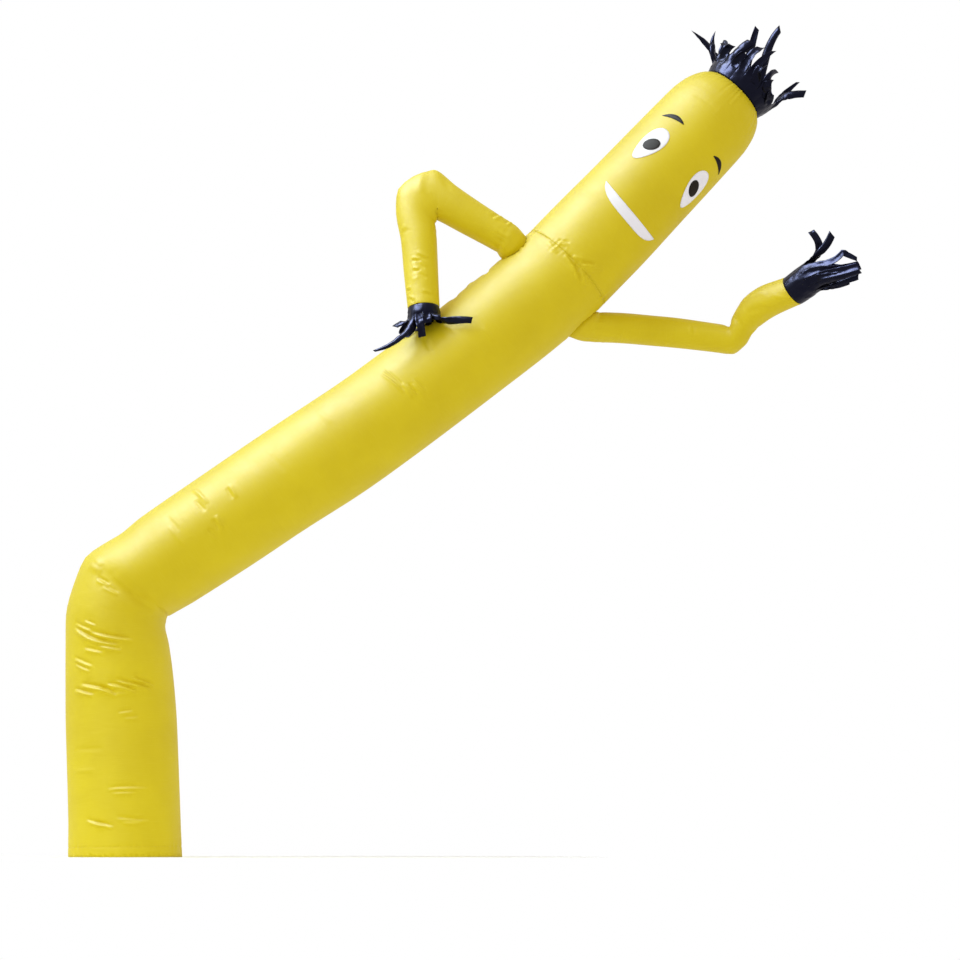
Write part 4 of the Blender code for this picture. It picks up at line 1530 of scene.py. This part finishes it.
    def flat_size(self) -> tuple[float, float]:
        """Width and length of the cut, before its strips are cut.

        Returns:
            Both, in metres.
        """
        girth = math.pi * (self.half[0] + self.half[1])
        longest = max(self._reach(strip) for strip in self.strips)
        return girth * self.flare, self.band + longest

    def flat_area(self) -> float:
        """Area of the cut: its band and its strips.

        Returns:
            Square metres.
        """
        girth = math.pi * (self.half[0] + self.half[1])
        share = self.taper + 1
        strips = sum(
            (strip.width + ((strip.tip_width or strip.width) - strip.width) / share) * self._reach(strip)
            for strip in self.strips)
        return girth * self.band + strips

    def _reach(self, strip: Strip) -> float:
        """Length of a strip along its curve, from its root's place and its tip."""
        places = self._line(strip, self._ring_point(strip.angle, self.flare, FRINGE_GAP + self.band))
        return sum((b - a).length for a, b in zip(places, places[1:]))


HAIR_STRIPS = (
    #     angle  width  tip: across toward along  handle: across toward along  facing tip_width slant
    # the far side, of which two stand up high
    Strip(-172.5, 0.041, -0.142, -0.110, 0.345, -0.102, -0.125, 0.252, 5.0, 0.022, 0.006),
    Strip(-157.5, 0.041, -0.120, -0.110, 0.215, -0.070, -0.140, 0.150, 35.0, 0.022, 0.010),
    Strip(-142.5, 0.041, -0.166, -0.110, 0.175, -0.120, -0.110, 0.120, 10.0, 0.026, 0.008),
    Strip(-127.5, 0.041, -0.196, -0.060, 0.120, -0.150, -0.080, 0.100, 25.0, 0.022, 0.010),
    # the pair at the left that forks out to thin points
    Strip(-112.5, 0.041, -0.244, -0.030, 0.171, -0.225, -0.040, 0.100, 0.0, 0.006, 0.012),
    Strip(-97.5, 0.043, -0.309, 0.010, 0.102, -0.220, 0.000, 0.105, 0.0, 0.005, 0.014),
    Strip(-82.5, 0.041, -0.204, 0.030, 0.112, -0.200, 0.040, 0.080, 15.0, 0.020, 0.006),
    Strip(-67.5, 0.041, -0.186, 0.040, 0.140, -0.156, 0.085, 0.142, 10.0, 0.024, 0.004),
    Strip(-52.5, 0.041, -0.132, 0.115, 0.132, -0.140, 0.130, 0.085, 25.0, 0.026, 0.012),
    # the broad pale one that leans over to the right
    Strip(-37.5, 0.045, -0.074, 0.148, 0.186, -0.088, 0.146, 0.135, 0.0, 0.042, 0.008),
    # the thick, crumpled middle
    Strip(-22.5, 0.041, -0.056, 0.178, 0.120, -0.066, 0.185, 0.090, 40.0, 0.030, 0.012),
    Strip(-7.5, 0.041, -0.026, 0.170, 0.190, -0.046, 0.190, 0.120, -30.0, 0.030, 0.012),
    Strip(7.5, 0.041, 0.023, 0.160, 0.217, 0.006, 0.190, 0.130, 20.0, 0.010, 0.010),
    Strip(22.5, 0.041, 0.036, 0.185, 0.130, 0.020, 0.205, 0.090, -45.0, 0.030, 0.012),
    Strip(37.5, 0.041, 0.084, 0.110, 0.177, 0.070, 0.190, 0.120, 30.0, 0.016, 0.014),
    Strip(52.5, 0.041, 0.092, 0.150, 0.112, 0.090, 0.180, 0.080, -30.0, 0.030, 0.012),
    Strip(67.5, 0.041, 0.132, 0.110, 0.086, 0.130, 0.130, 0.070, 40.0, 0.032, 0.010),
    # the two at the right that reach out
    Strip(82.5, 0.041, 0.232, 0.060, 0.200, 0.150, 0.060, 0.125, 0.0, 0.031, 0.006),
    Strip(97.5, 0.041, 0.167, 0.000, 0.241, 0.150, 0.000, 0.120, 10.0, 0.010, 0.006),
    Strip(112.5, 0.041, 0.142, -0.020, 0.084, 0.150, -0.040, 0.065, 30.0, 0.032, 0.010),
    Strip(127.5, 0.041, 0.112, -0.060, 0.150, 0.130, -0.090, 0.100, -30.0, 0.026, 0.010),
    Strip(142.5, 0.041, 0.060, -0.090, 0.186, 0.080, -0.120, 0.130, 15.0, 0.024, 0.012),
    Strip(157.5, 0.043, -0.056, -0.050, 0.387, -0.060, -0.080, 0.262, 5.0, 0.026, 0.010),
    Strip(172.5, 0.041, -0.040, -0.120, 0.200, -0.010, -0.140, 0.150, 20.0, 0.026, 0.006),
)

RIGHT_HAND_STRIPS = (
    # the far side
    Strip(-165.0, 0.036, 0.078, -0.040, 0.280, 0.030, -0.060, 0.180, 25.0, 0.028),
    Strip(-135.0, 0.036, 0.052, -0.040, 0.240, 0.000, -0.050, 0.160, 10.0, 0.030, 0.006),
    # the two that stand up
    Strip(-105.0, 0.038, -0.165, -0.030, 0.197, -0.045, -0.020, 0.218, 0.0, 0.028, 0.002),
    Strip(-75.0, 0.036, -0.098, 0.000, 0.277, -0.046, 0.010, 0.200, 0.0, 0.030, 0.008),
    # the one that is folded over
    Strip(-45.0, 0.034, -0.004, 0.040, 0.286, 0.024, 0.060, 0.212, 0.0, 0.016, 0.004, (0.052, 0.030, 0.318)),
    # the thick bunch
    Strip(-15.0, 0.036, 0.080, 0.060, 0.322, 0.040, 0.080, 0.200, 10.0, 0.032, 0.002),
    Strip(15.0, 0.036, 0.086, 0.064, 0.325, 0.048, 0.090, 0.205, -8.0, 0.034, 0.003),
    Strip(45.0, 0.036, 0.096, 0.056, 0.312, 0.064, 0.085, 0.195, 10.0, 0.034, 0.004),
    Strip(75.0, 0.036, 0.112, 0.034, 0.288, 0.086, 0.040, 0.185, -8.0, 0.032, 0.006),
    Strip(105.0, 0.036, 0.106, 0.006, 0.236, 0.086, -0.010, 0.165, 15.0, 0.026, 0.010),
    Strip(135.0, 0.036, 0.100, -0.020, 0.262, 0.070, -0.040, 0.180, -15.0, 0.028, 0.006),
    Strip(165.0, 0.036, 0.066, -0.030, 0.290, 0.030, -0.055, 0.190, 20.0, 0.028),
)

LEFT_HAND_STRIPS = (
    # the one that lies across the body
    Strip(-76.0, 0.036, -0.196, 0.060, 0.088, -0.120, 0.060, 0.074, 0.0, 0.026, 0.002),
    Strip(-43.0, 0.036, -0.046, 0.062, 0.078, -0.060, 0.075, 0.058, 25.0, 0.032, 0.008),
    Strip(-11.0, 0.036, -0.012, 0.070, 0.092, -0.016, 0.085, 0.066, -10.0, 0.034, 0.004),
    Strip(20.0, 0.034, 0.012, 0.055, 0.146, 0.014, 0.085, 0.088, 0.0, 0.030, 0.002),
    # the long thin one
    Strip(50.0, 0.034, 0.212, 0.050, 0.193, 0.110, 0.085, 0.180, 5.0, 0.008, 0.004),
    # crumpled ones
    Strip(78.0, 0.034, 0.122, 0.020, 0.082, 0.085, 0.045, 0.062, 30.0, 0.026, 0.010),
    Strip(106.0, 0.034, 0.096, 0.020, 0.124, 0.096, 0.000, 0.080, -30.0, 0.026, 0.010),
    # the far side
    Strip(138.0, 0.036, 0.070, -0.070, 0.100, 0.070, -0.060, 0.070, 20.0, 0.028),
    Strip(172.0, 0.036, 0.010, -0.095, 0.104, 0.016, -0.080, 0.074, 25.0, 0.028),
    Strip(-152.0, 0.036, -0.040, -0.090, 0.094, -0.040, -0.074, 0.070, 20.0, 0.028),
    Strip(-114.0, 0.036, -0.088, -0.030, 0.076, -0.078, -0.040, 0.058, 30.0, 0.030, 0.006),
)


# ---- face ----
@dataclass
class FacePatch:
    """A patch cut from cloth and sewn to the head with a close zigzag stitch along its edge."""

    name: str
    node: str
    outline: Sequence[tuple[float, float]]    # (path distance, degrees from the face's middle), once round
    lift: float
    form: TubeForm
    relief: Relief
    scale: float              # metres round the head for each degree
    stitch_pitch: float = 0.0045
    stitch_reach: float = 0.0038
    stitch_outside: float = 0.0008                # how far the zigzag's outer ends pass the edge
    cell: float = 0.006
    puff: float = 0.0006      # how far the cloth stands off between its stitched edges

    def build(self, material: bpy.types.Material) -> bpy.types.Object:
        """Cut the patch from its outline and lay it on the head.

        Args:
            material: the finish.

        Returns:
            The finished piece.
        """
        scale = self.scale
        bm = bmesh.new()
        flat = [Vector((angle * scale, station, 0.0)) for station, angle in self.outline]
        low = Vector((min(p.x for p in flat), min(p.y for p in flat)))
        high = Vector((max(p.x for p in flat), max(p.y for p in flat)))
        bm.faces.new([bm.verts.new(p) for p in flat])
        for axis, start, end in ((0, low.x, high.x), (1, low.y, high.y)):
            count = int((end - start) / self.cell)
            for step in range(1, count):
                place, normal = Vector((0, 0, 0)), Vector((0, 0, 0))
                place[axis] = start + (end - start) * step / count
                normal[axis] = 1.0
                geometry = bm.verts[:] + bm.edges[:] + bm.faces[:]
                bmesh.ops.bisect_plane(bm, geom=geometry, plane_co=place, plane_no=normal, dist=SMALLEST)
        bmesh.ops.remove_doubles(bm, verts=bm.verts, dist=1e-4)
        uv = bm.loops.layers.uv.new(CLOTH_UV)
        for face in bm.faces:
            for loop in face.loops:
                loop[uv].uv = loop.vert.co.xy
        bm.verts.ensure_lookup_table()
        places = np.array([vertex.co for vertex in bm.verts])
        rim = np.array([vertex.is_boundary for vertex in bm.verts])
        puffed = np.where(rim, 0.0, self.puff)
        laid = self.lay(places[:, 1], places[:, 0] / scale, self.lift + puffed)
        for vertex, point in zip(bm.verts, laid):
            vertex.co = point
        bmesh.ops.recalc_face_normals(bm, faces=bm.faces)
        if bm.faces[:][0].normal.y > 0:
            bmesh.ops.reverse_faces(bm, faces=bm.faces)
        piece = add_piece(self.name, bm, material)
        give_wall(piece, PATCH_CLOTH, 1.0)
        return piece

    def lay(self, stations: np.ndarray, angles: np.ndarray, lift: np.ndarray | float) -> np.ndarray:
        """Points of the head's skin under the patch, lifted by so much."""
        turned = angles + FACE_TURN
        return self.form.points(stations, turned, self.relief.heights(stations, turned) + lift)

    def size(self) -> tuple[float, float, float]:
        """Width and length of the cloth that it is cut from, and the patch's own area.

        Returns:
            Metres, metres and square metres.
        """
        scale = self.scale
        points = [(angle * scale, station) for station, angle in self.outline]
        width = max(p[0] for p in points) - min(p[0] for p in points)
        length = max(p[1] for p in points) - min(p[1] for p in points)
        area = abs(sum(a[0] * b[1] - b[0] * a[1] for a, b in zip(points, points[1:] + points[:1]))) / 2
        return width, length, area

    def stitches(self, material: bpy.types.Material) -> bpy.types.Object:
        """A zigzag line of thread along the patch's edge, as one mesh of short bars.

        Args:
            material: the thread.

        Returns:
            The finished piece.
        """
        scale = self.scale
        points = [Vector((angle * scale, station)) for station, angle in self.outline]
        middle = sum(points, Vector((0.0, 0.0))) / len(points)
        walk, travelled = [], 0.0
        for a, b in zip(points, points[1:] + points[:1]):
            length = (b - a).length
            while travelled < length:
                walk.append(a.lerp(b, travelled / length))
                travelled += self.stitch_pitch / 2
            travelled -= length
        bm = bmesh.new()
        zigzag = []
        for index, place in enumerate(walk):
            inwards = (middle - place).normalized()
            shifted = place + inwards * (self.stitch_reach if index % 2 else -self.stitch_outside)
            height = self.lift + PATCH_CLOTH + STITCH * 0.6 if index % 2 else self.lift * 0.5 + STITCH * 0.5
            zigzag.append(Vector(self.lay(np.array([shifted.y]), np.array([shifted.x / scale]), height)[0]))
        for a, b in zip(zigzag, zigzag[1:]):
            add_bar(bm, a, b, STITCH / 2)
        return add_piece(self.name + "_stitching", bm, material)


def add_bar(bm: bmesh.types.BMesh, a: Vector, b: Vector, radius: float) -> None:
    """Add a four-sided bar of thread between two points, with closed ends.

    Args:
        bm: the mesh that it goes into.
        a: one end.
        b: the other end.
        radius: half the thread's thickness.
    """
    line = b - a
    if line.length < 1e-6:
        return
    side = line.orthogonal().normalized()
    other = line.cross(side).normalized()
    rings = []
    for end in (a, b):
        rings.append([bm.verts.new(end + d * radius) for d in (side, other, -side, -other)])
    for i in range(4):
        j = (i + 1) % 4
        bm.faces.new((rings[0][i], rings[0][j], rings[1][j], rings[1][i]))
    bm.faces.new(rings[0][::-1])
    bm.faces.new(rings[1])


@dataclass
class Face:
    """The plain face: eyes with pupils, brows and a mouth, each cut from cloth."""

    form: TubeForm
    relief: Relief
    round_head: float = math.radians(0.2155)      # metres for each degree
    eye_station: float = 0.588
    eye_angle: float = 39.0
    eye_length: float = 0.184
    eye_width: float = 0.098
    eye_lean: float = 9.0
    eye_point: float = 0.28
    pupil_station: float = 0.589
    pupil_angle: float = 37.0
    pupil_length: float = 0.074
    pupil_width: float = 0.054
    pupil_lean: float = 47.0
    pupil_gap: float = 0.0006                     # metres of air between a pupil and its eye
    brow_station: float = 0.744
    brow_inner: float = 26.0
    brow_outer: float = 55.0
    brow_rise: float = 0.022
    brow_drop: float = 0.018
    brow_thickness: float = 0.018
    mouth_station: float = 0.317
    mouth_half_angle: float = 46.0
    mouth_rise: float = 0.0165
    mouth_tilt: float = 0.0125
    mouth_thickness: float = 0.043
    corner: float = 0.003

    def build(self, finishes: Finishes) -> None:
        """Make every patch with its stitching.

        Args:
            finishes: the materials.
        """
        top_lift = 2 * PATCH_LIFT + PATCH_CLOTH + self.pupil_gap
        for name, side in (("left", -1), ("right", 1)):
            eye = self._oval(self.eye_station, side * self.eye_angle, self.eye_length, self.eye_width,
                             -side * self.eye_lean, self.eye_point)
            self._patch(f"eye_{name}", eye, PATCH_LIFT, finishes.white, finishes.white_thread, "white_nylon")
            pupil = self._oval(
                self.pupil_station, side * self.pupil_angle, self.pupil_length, self.pupil_width,
                -side * self.pupil_lean, 0.0)
            self._patch(
                f"pupil_{name}", pupil, top_lift, finishes.patch_black, finishes.black_thread, "black_nylon")
            brow = self._crescent(
                side * self.brow_inner, side * self.brow_outer, self._brow_upper, self._brow_lower)
            self._patch(
                f"brow_{name}", brow, PATCH_LIFT, finishes.patch_black, finishes.black_thread, "black_nylon")
        mouth = self._crescent(
            -self.mouth_half_angle, self.mouth_half_angle, self._mouth_upper, self._mouth_lower)
        self._patch("mouth", mouth, PATCH_LIFT, finishes.white, finishes.white_thread, "white_nylon")

    def _patch(self, node: str, outline: Sequence[tuple[float, float]], lift: float,
               material: bpy.types.Material, thread: bpy.types.Material, slot: str) -> None:
        """Build one patch and its stitching.

        Args:
            node: the CAD node that it stands for.
            outline: its edge.
            lift: how far it lies off the head's cloth, metres.
            material: its cloth.
            thread: its thread.
            slot: not used.
        """
        patch = FacePatch(f"{node}_patch", node, outline, lift, self.form, self.relief, self.round_head)
        piece = patch.build(material)
        stitching = patch.stitches(thread)
        place_piece(piece, node)
        place_piece(stitching, None)
        width, length, area = patch.size()

    def _oval(self, station: float, angle: float, length: float, width: float, lean: float,
              point: float) -> list[tuple[float, float]]:
        """Outline of an oval.

        Args:
            station: path distance of its middle, metres.
            angle: degrees of its middle from the face's middle.
            length: its size along the head, metres.
            width: its size round the head, metres.
            lean: degrees that it leans.
            point: how much its lower end is drawn in, as a share of its width.

        Returns:
            Path distance and angle of each point, once round.
        """
        outline = []
        tilt = math.radians(lean)
        for step in range(48):
            turn = 2 * math.pi * step / 48
            t = -math.cos(turn)
            x = math.sin(turn) * width / 2 * (1 + point * t)
            y = t * length / 2
            outline.append((
                station + y * math.cos(tilt) - x * math.sin(tilt),
                angle + (x * math.cos(tilt) + y * math.sin(tilt)) / self.round_head))
        return outline

    @staticmethod
    def _crescent(angle_from: float, angle_to: float, upper: Callable[[float], float],
                  lower: Callable[[float], float]) -> list[tuple[float, float]]:
        """Outline between two edges, each a function of t from -1 to 1.

        Args:
            angle_from: degrees at t = -1.
            angle_to: degrees at t = 1.
            upper: path distance of the upper edge.
            lower: path distance of the lower edge.

        Returns:
            Path distance and angle of each point, once round.
        """
        ts = [-1 + 2 * i / 24 for i in range(25)]
        angles = [angle_from + (angle_to - angle_from) * (t + 1) / 2 for t in ts]
        top = [(upper(t), angle) for t, angle in zip(ts, angles)]
        bottom = [(lower(t), angle) for t, angle in zip(ts, angles)]
        return top + bottom[::-1]

    def _brow_upper(self, t: float) -> float:
        """Upper edge of a brow."""
        return self.brow_station + self.brow_rise * (1 - t * t) - self.brow_drop * (t + 1) / 2

    def _brow_lower(self, t: float) -> float:
        """Lower edge of a brow."""
        return self._brow_upper(t) - self.corner - self.brow_thickness * (1 - t * t)

    def _mouth_upper(self, t: float) -> float:
        """Upper edge of the mouth."""
        return self.mouth_station + self.mouth_rise * t * t - self.mouth_tilt * t

    def _mouth_lower(self, t: float) -> float:
        """Lower edge of the mouth."""
        return self._mouth_upper(t) - self.corner - self.mouth_thickness * (1 - t ** 4) ** 0.8


# ---- the figure ----
@dataclass
class Figure:
    """The whole air dancer."""

    sleeve_radius: float = 0.074
    below_seam: float = 0.112
    hem_row: float = 0.040    # stitches that hold the turned-up hem
    seam_row: float = 0.007   # stitches beside a seam that goes round
    left_angle: float = -73.0
    right_angle: float = 107.0

    def build(self, finishes: Finishes) -> None:
        """Build every piece, in the order in which the figure is sewn.

        Args:
            finishes: the materials.
        """
        length = TubeForm(BODY_SECTIONS).length
        station = length - self.below_seam
        rings = (
            SewnRing(station, self.left_angle, self.sleeve_radius),
            SewnRing(station, self.right_angle, self.sleeve_radius),
        )
        body = ClothTube(
            "body_cloth", "body_tube", BODY_SECTIONS, BODY_CREASES + shifted(HEAD_CREASES, length),
            (SHOULDER_SEAM._replace(station=length), HEM_SEAM), 0.0, rings)
        head = ClothTube(
            "head_cloth", "head_tube", HEAD_SECTIONS, HEAD_CREASES + shifted(BODY_CREASES, -length),
            (SHOULDER_SEAM, CROWN_SEAM), SEAM_GAP, offset=length)
        self._finish_tube(body, finishes, (self.hem_row, length - self.seam_row))
        self._finish_tube(head, finishes, (self.seam_row,))
        sleeves = {}
        for side, table, creases, angle, turn in (
            ("left", LEFT_SLEEVE_SECTIONS, LEFT_SLEEVE_CREASES, self.left_angle, 1),
            ("right", RIGHT_SLEEVE_SECTIONS, RIGHT_SLEEVE_CREASES, self.right_angle, -1),
        ):
            seams = (SLEEVE_ROOT_SEAM, WRIST_SEAM._replace(station=TubeForm(table).length))
            sleeve = Sleeve(
                f"sleeve_{side}_cloth", f"sleeve_{side}", table, creases, seams, girth=mean_girth(table),
                body=body, root_angle=angle, side=turn, root_radius=self.sleeve_radius,
                below_seam=self.below_seam)
            self._finish_tube(sleeve, finishes, (sleeve.form.length - self.seam_row,))
            sleeves[side] = sleeve
        for fringe in (
            Fringe(
                "hair_fringe_cloth", "hair_fringe", head.form, band=0.052, flare=1.10,
                strips=HAIR_STRIPS, seed=21),
            Fringe(
                "hand_left_cloth", "hand_left", sleeves["left"].form, band=0.040, flare=1.04,
                strips=LEFT_HAND_STRIPS, seed=8, rests_on=body.form),
            Fringe(
                "hand_right_cloth", "hand_right", sleeves["right"].form, band=0.090, flare=1.02,
                strips=RIGHT_HAND_STRIPS, seed=4),
        ):
            piece = fringe.build(finishes.black)
            place_piece(piece, fringe.node)
            fringe.flat_size()
            self._fair_area(fringe)
        Face(head.form, head.relief).build(finishes)

    @staticmethod
    def _fair_area(fringe: Fringe) -> float:
        """The fringe's flat area, never more than its cut's rectangle."""
        width, length = fringe.flat_size()
        return min(fringe.flat_area(), width * length)

    @staticmethod
    def _finish_tube(tube: ClothTube, finishes: Finishes, rows: Sequence[float]) -> None:
        """Args:
            tube: the tube.
            finishes: the materials.
            rows: path distances of the stitches that go round it.
        """
        piece = tube.build(finishes.yellow)
        place_piece(piece, tube.node)
        stitching = tube.stitching(finishes.yellow_thread, rows)
        place_piece(stitching, None)


# ---- the studio ----
@dataclass
class StudioSet:
    """Pale floor, soft light and the camera."""

    camera_place: tuple[float, float, float] = (1.434, -9.027, 0.035)
    camera_pitch: float = 9.5          # degrees above level
    lens: float = 82.5                 # millimetres on a 36 mm sensor
    floor_radius: float = 1.6
    floor_middle: float = 0.35
    middle: tuple[float, float, float] = (1.35, 0.0, 1.75)
    key_way: tuple[float, float, float] = (-0.52, -0.30, 0.80)
    key_distance: float = 8.0
    key_size: float = 5.0
    key_power: float = 230.0
    key_tint: str = "E8FFF6"
    glint_power: float = 3500.0
    glint_tint: str = "EAF4FF"
    fill_way: tuple[float, float, float] = (-0.80, -0.32, 0.50)
    fill_distance: float = 8.0
    fill_size: float = 5.0
    fill_power: float = 130.0
    ambient: float = 0.82
    ambient_tint: str = "FFFAFA"

    def build(self) -> None:
        """Make the floor, the lights, the surroundings and the camera."""
        self._floor()
        self._light("key", self.key_way, self.key_distance, self.key_size, self.key_power, self.key_tint)
        glint = self._light(
            "glint", self.key_way, self.key_distance + 0.1, self.key_size, self.glint_power, self.glint_tint)
        glint.visible_diffuse = False
        self._light("fill", self.fill_way, self.fill_distance, self.fill_size, self.fill_power, self.key_tint)
        self._surroundings()
        self._camera()
        view = bpy.context.scene.view_settings
        view.view_transform = "Standard"
        view.look = "None"

    def _floor(self) -> None:
        """A plain round floor under the hem."""
        deselect_all()
        bpy.ops.mesh.primitive_circle_add(
            vertices=96, radius=self.floor_radius, fill_type="NGON",
            location=(self.floor_middle, 0.0, HEM_HEIGHT - 0.0005))
        floor = bpy.context.active_object
        floor.name = "floor"
        floor.data.materials.append(StudioPaper().make())

    def _light(self, name: str, way: Sequence[float], distance: float, size: float,
               power: float, tint: str) -> bpy.types.Object:
        """A square soft light that looks at the figure's middle.

        Args:
            name: the light's name.
            way: direction from the middle to the light.
            distance: metres from the middle.
            size: metres along each side.
            power: watts.
            tint: its colour, as an sRGB hex value.

        Returns:
            The light.
        """
        data = bpy.data.lights.new(name, "AREA")
        data.shape = "SQUARE"
        data.size = size
        data.energy = power
        data.color = linear(tint)[:3]
        lamp = bpy.data.objects.new(name, data)
        lamp.location = Vector(self.middle) + Vector(way).normalized() * distance
        lamp.rotation_euler = (Vector(self.middle) - lamp.location).to_track_quat("-Z", "Y").to_euler()
        bpy.context.scene.collection.objects.link(lamp)
        return lamp

    def _surroundings(self) -> None:
        """Even, soft light from all round, behind which the studio looks white."""
        world = bpy.data.worlds.new("soft_surroundings")
        bpy.context.scene.world = world
        world.use_nodes = True
        tree = world.node_tree
        tree.nodes.clear()
        seen = add_node(tree, "ShaderNodeLightPath").outputs["Is Camera Ray"]
        strength = add_node(
            tree, "ShaderNodeMapRange", None, {"To Min": self.ambient, "To Max": 1.0}, {"Value": seen})
        tint = add_node(
            tree, "ShaderNodeMix", {"data_type": "RGBA"}, {6: linear(self.ambient_tint), 7: linear("FFFFFF")},
            {0: seen})
        sky = add_node(
            tree, "ShaderNodeBackground", None, None,
            {"Color": tint.outputs[2], "Strength": strength.outputs["Result"]})
        add_node(tree, "ShaderNodeOutputWorld", None, None, {"Surface": sky.outputs["Background"]})

    def _camera(self) -> None:
        """The camera, low in front of the figure and looking slightly up."""
        data = bpy.data.cameras.new("camera")
        data.sensor_width = 36.0
        data.lens = self.lens
        camera = bpy.data.objects.new("camera", data)
        camera.location = self.camera_place
        camera.rotation_euler = (math.radians(90 + self.camera_pitch), 0.0, 0.0)
        bpy.context.scene.collection.objects.link(camera)
        bpy.context.scene.camera = camera


def main() -> None:
    """Build the figure and its studio."""
    logging.basicConfig(level=logging.INFO, format="%(message)s")
    StudioSet().build()
    Figure().build(Finishes.make())


if __name__ == "__main__":
    main()
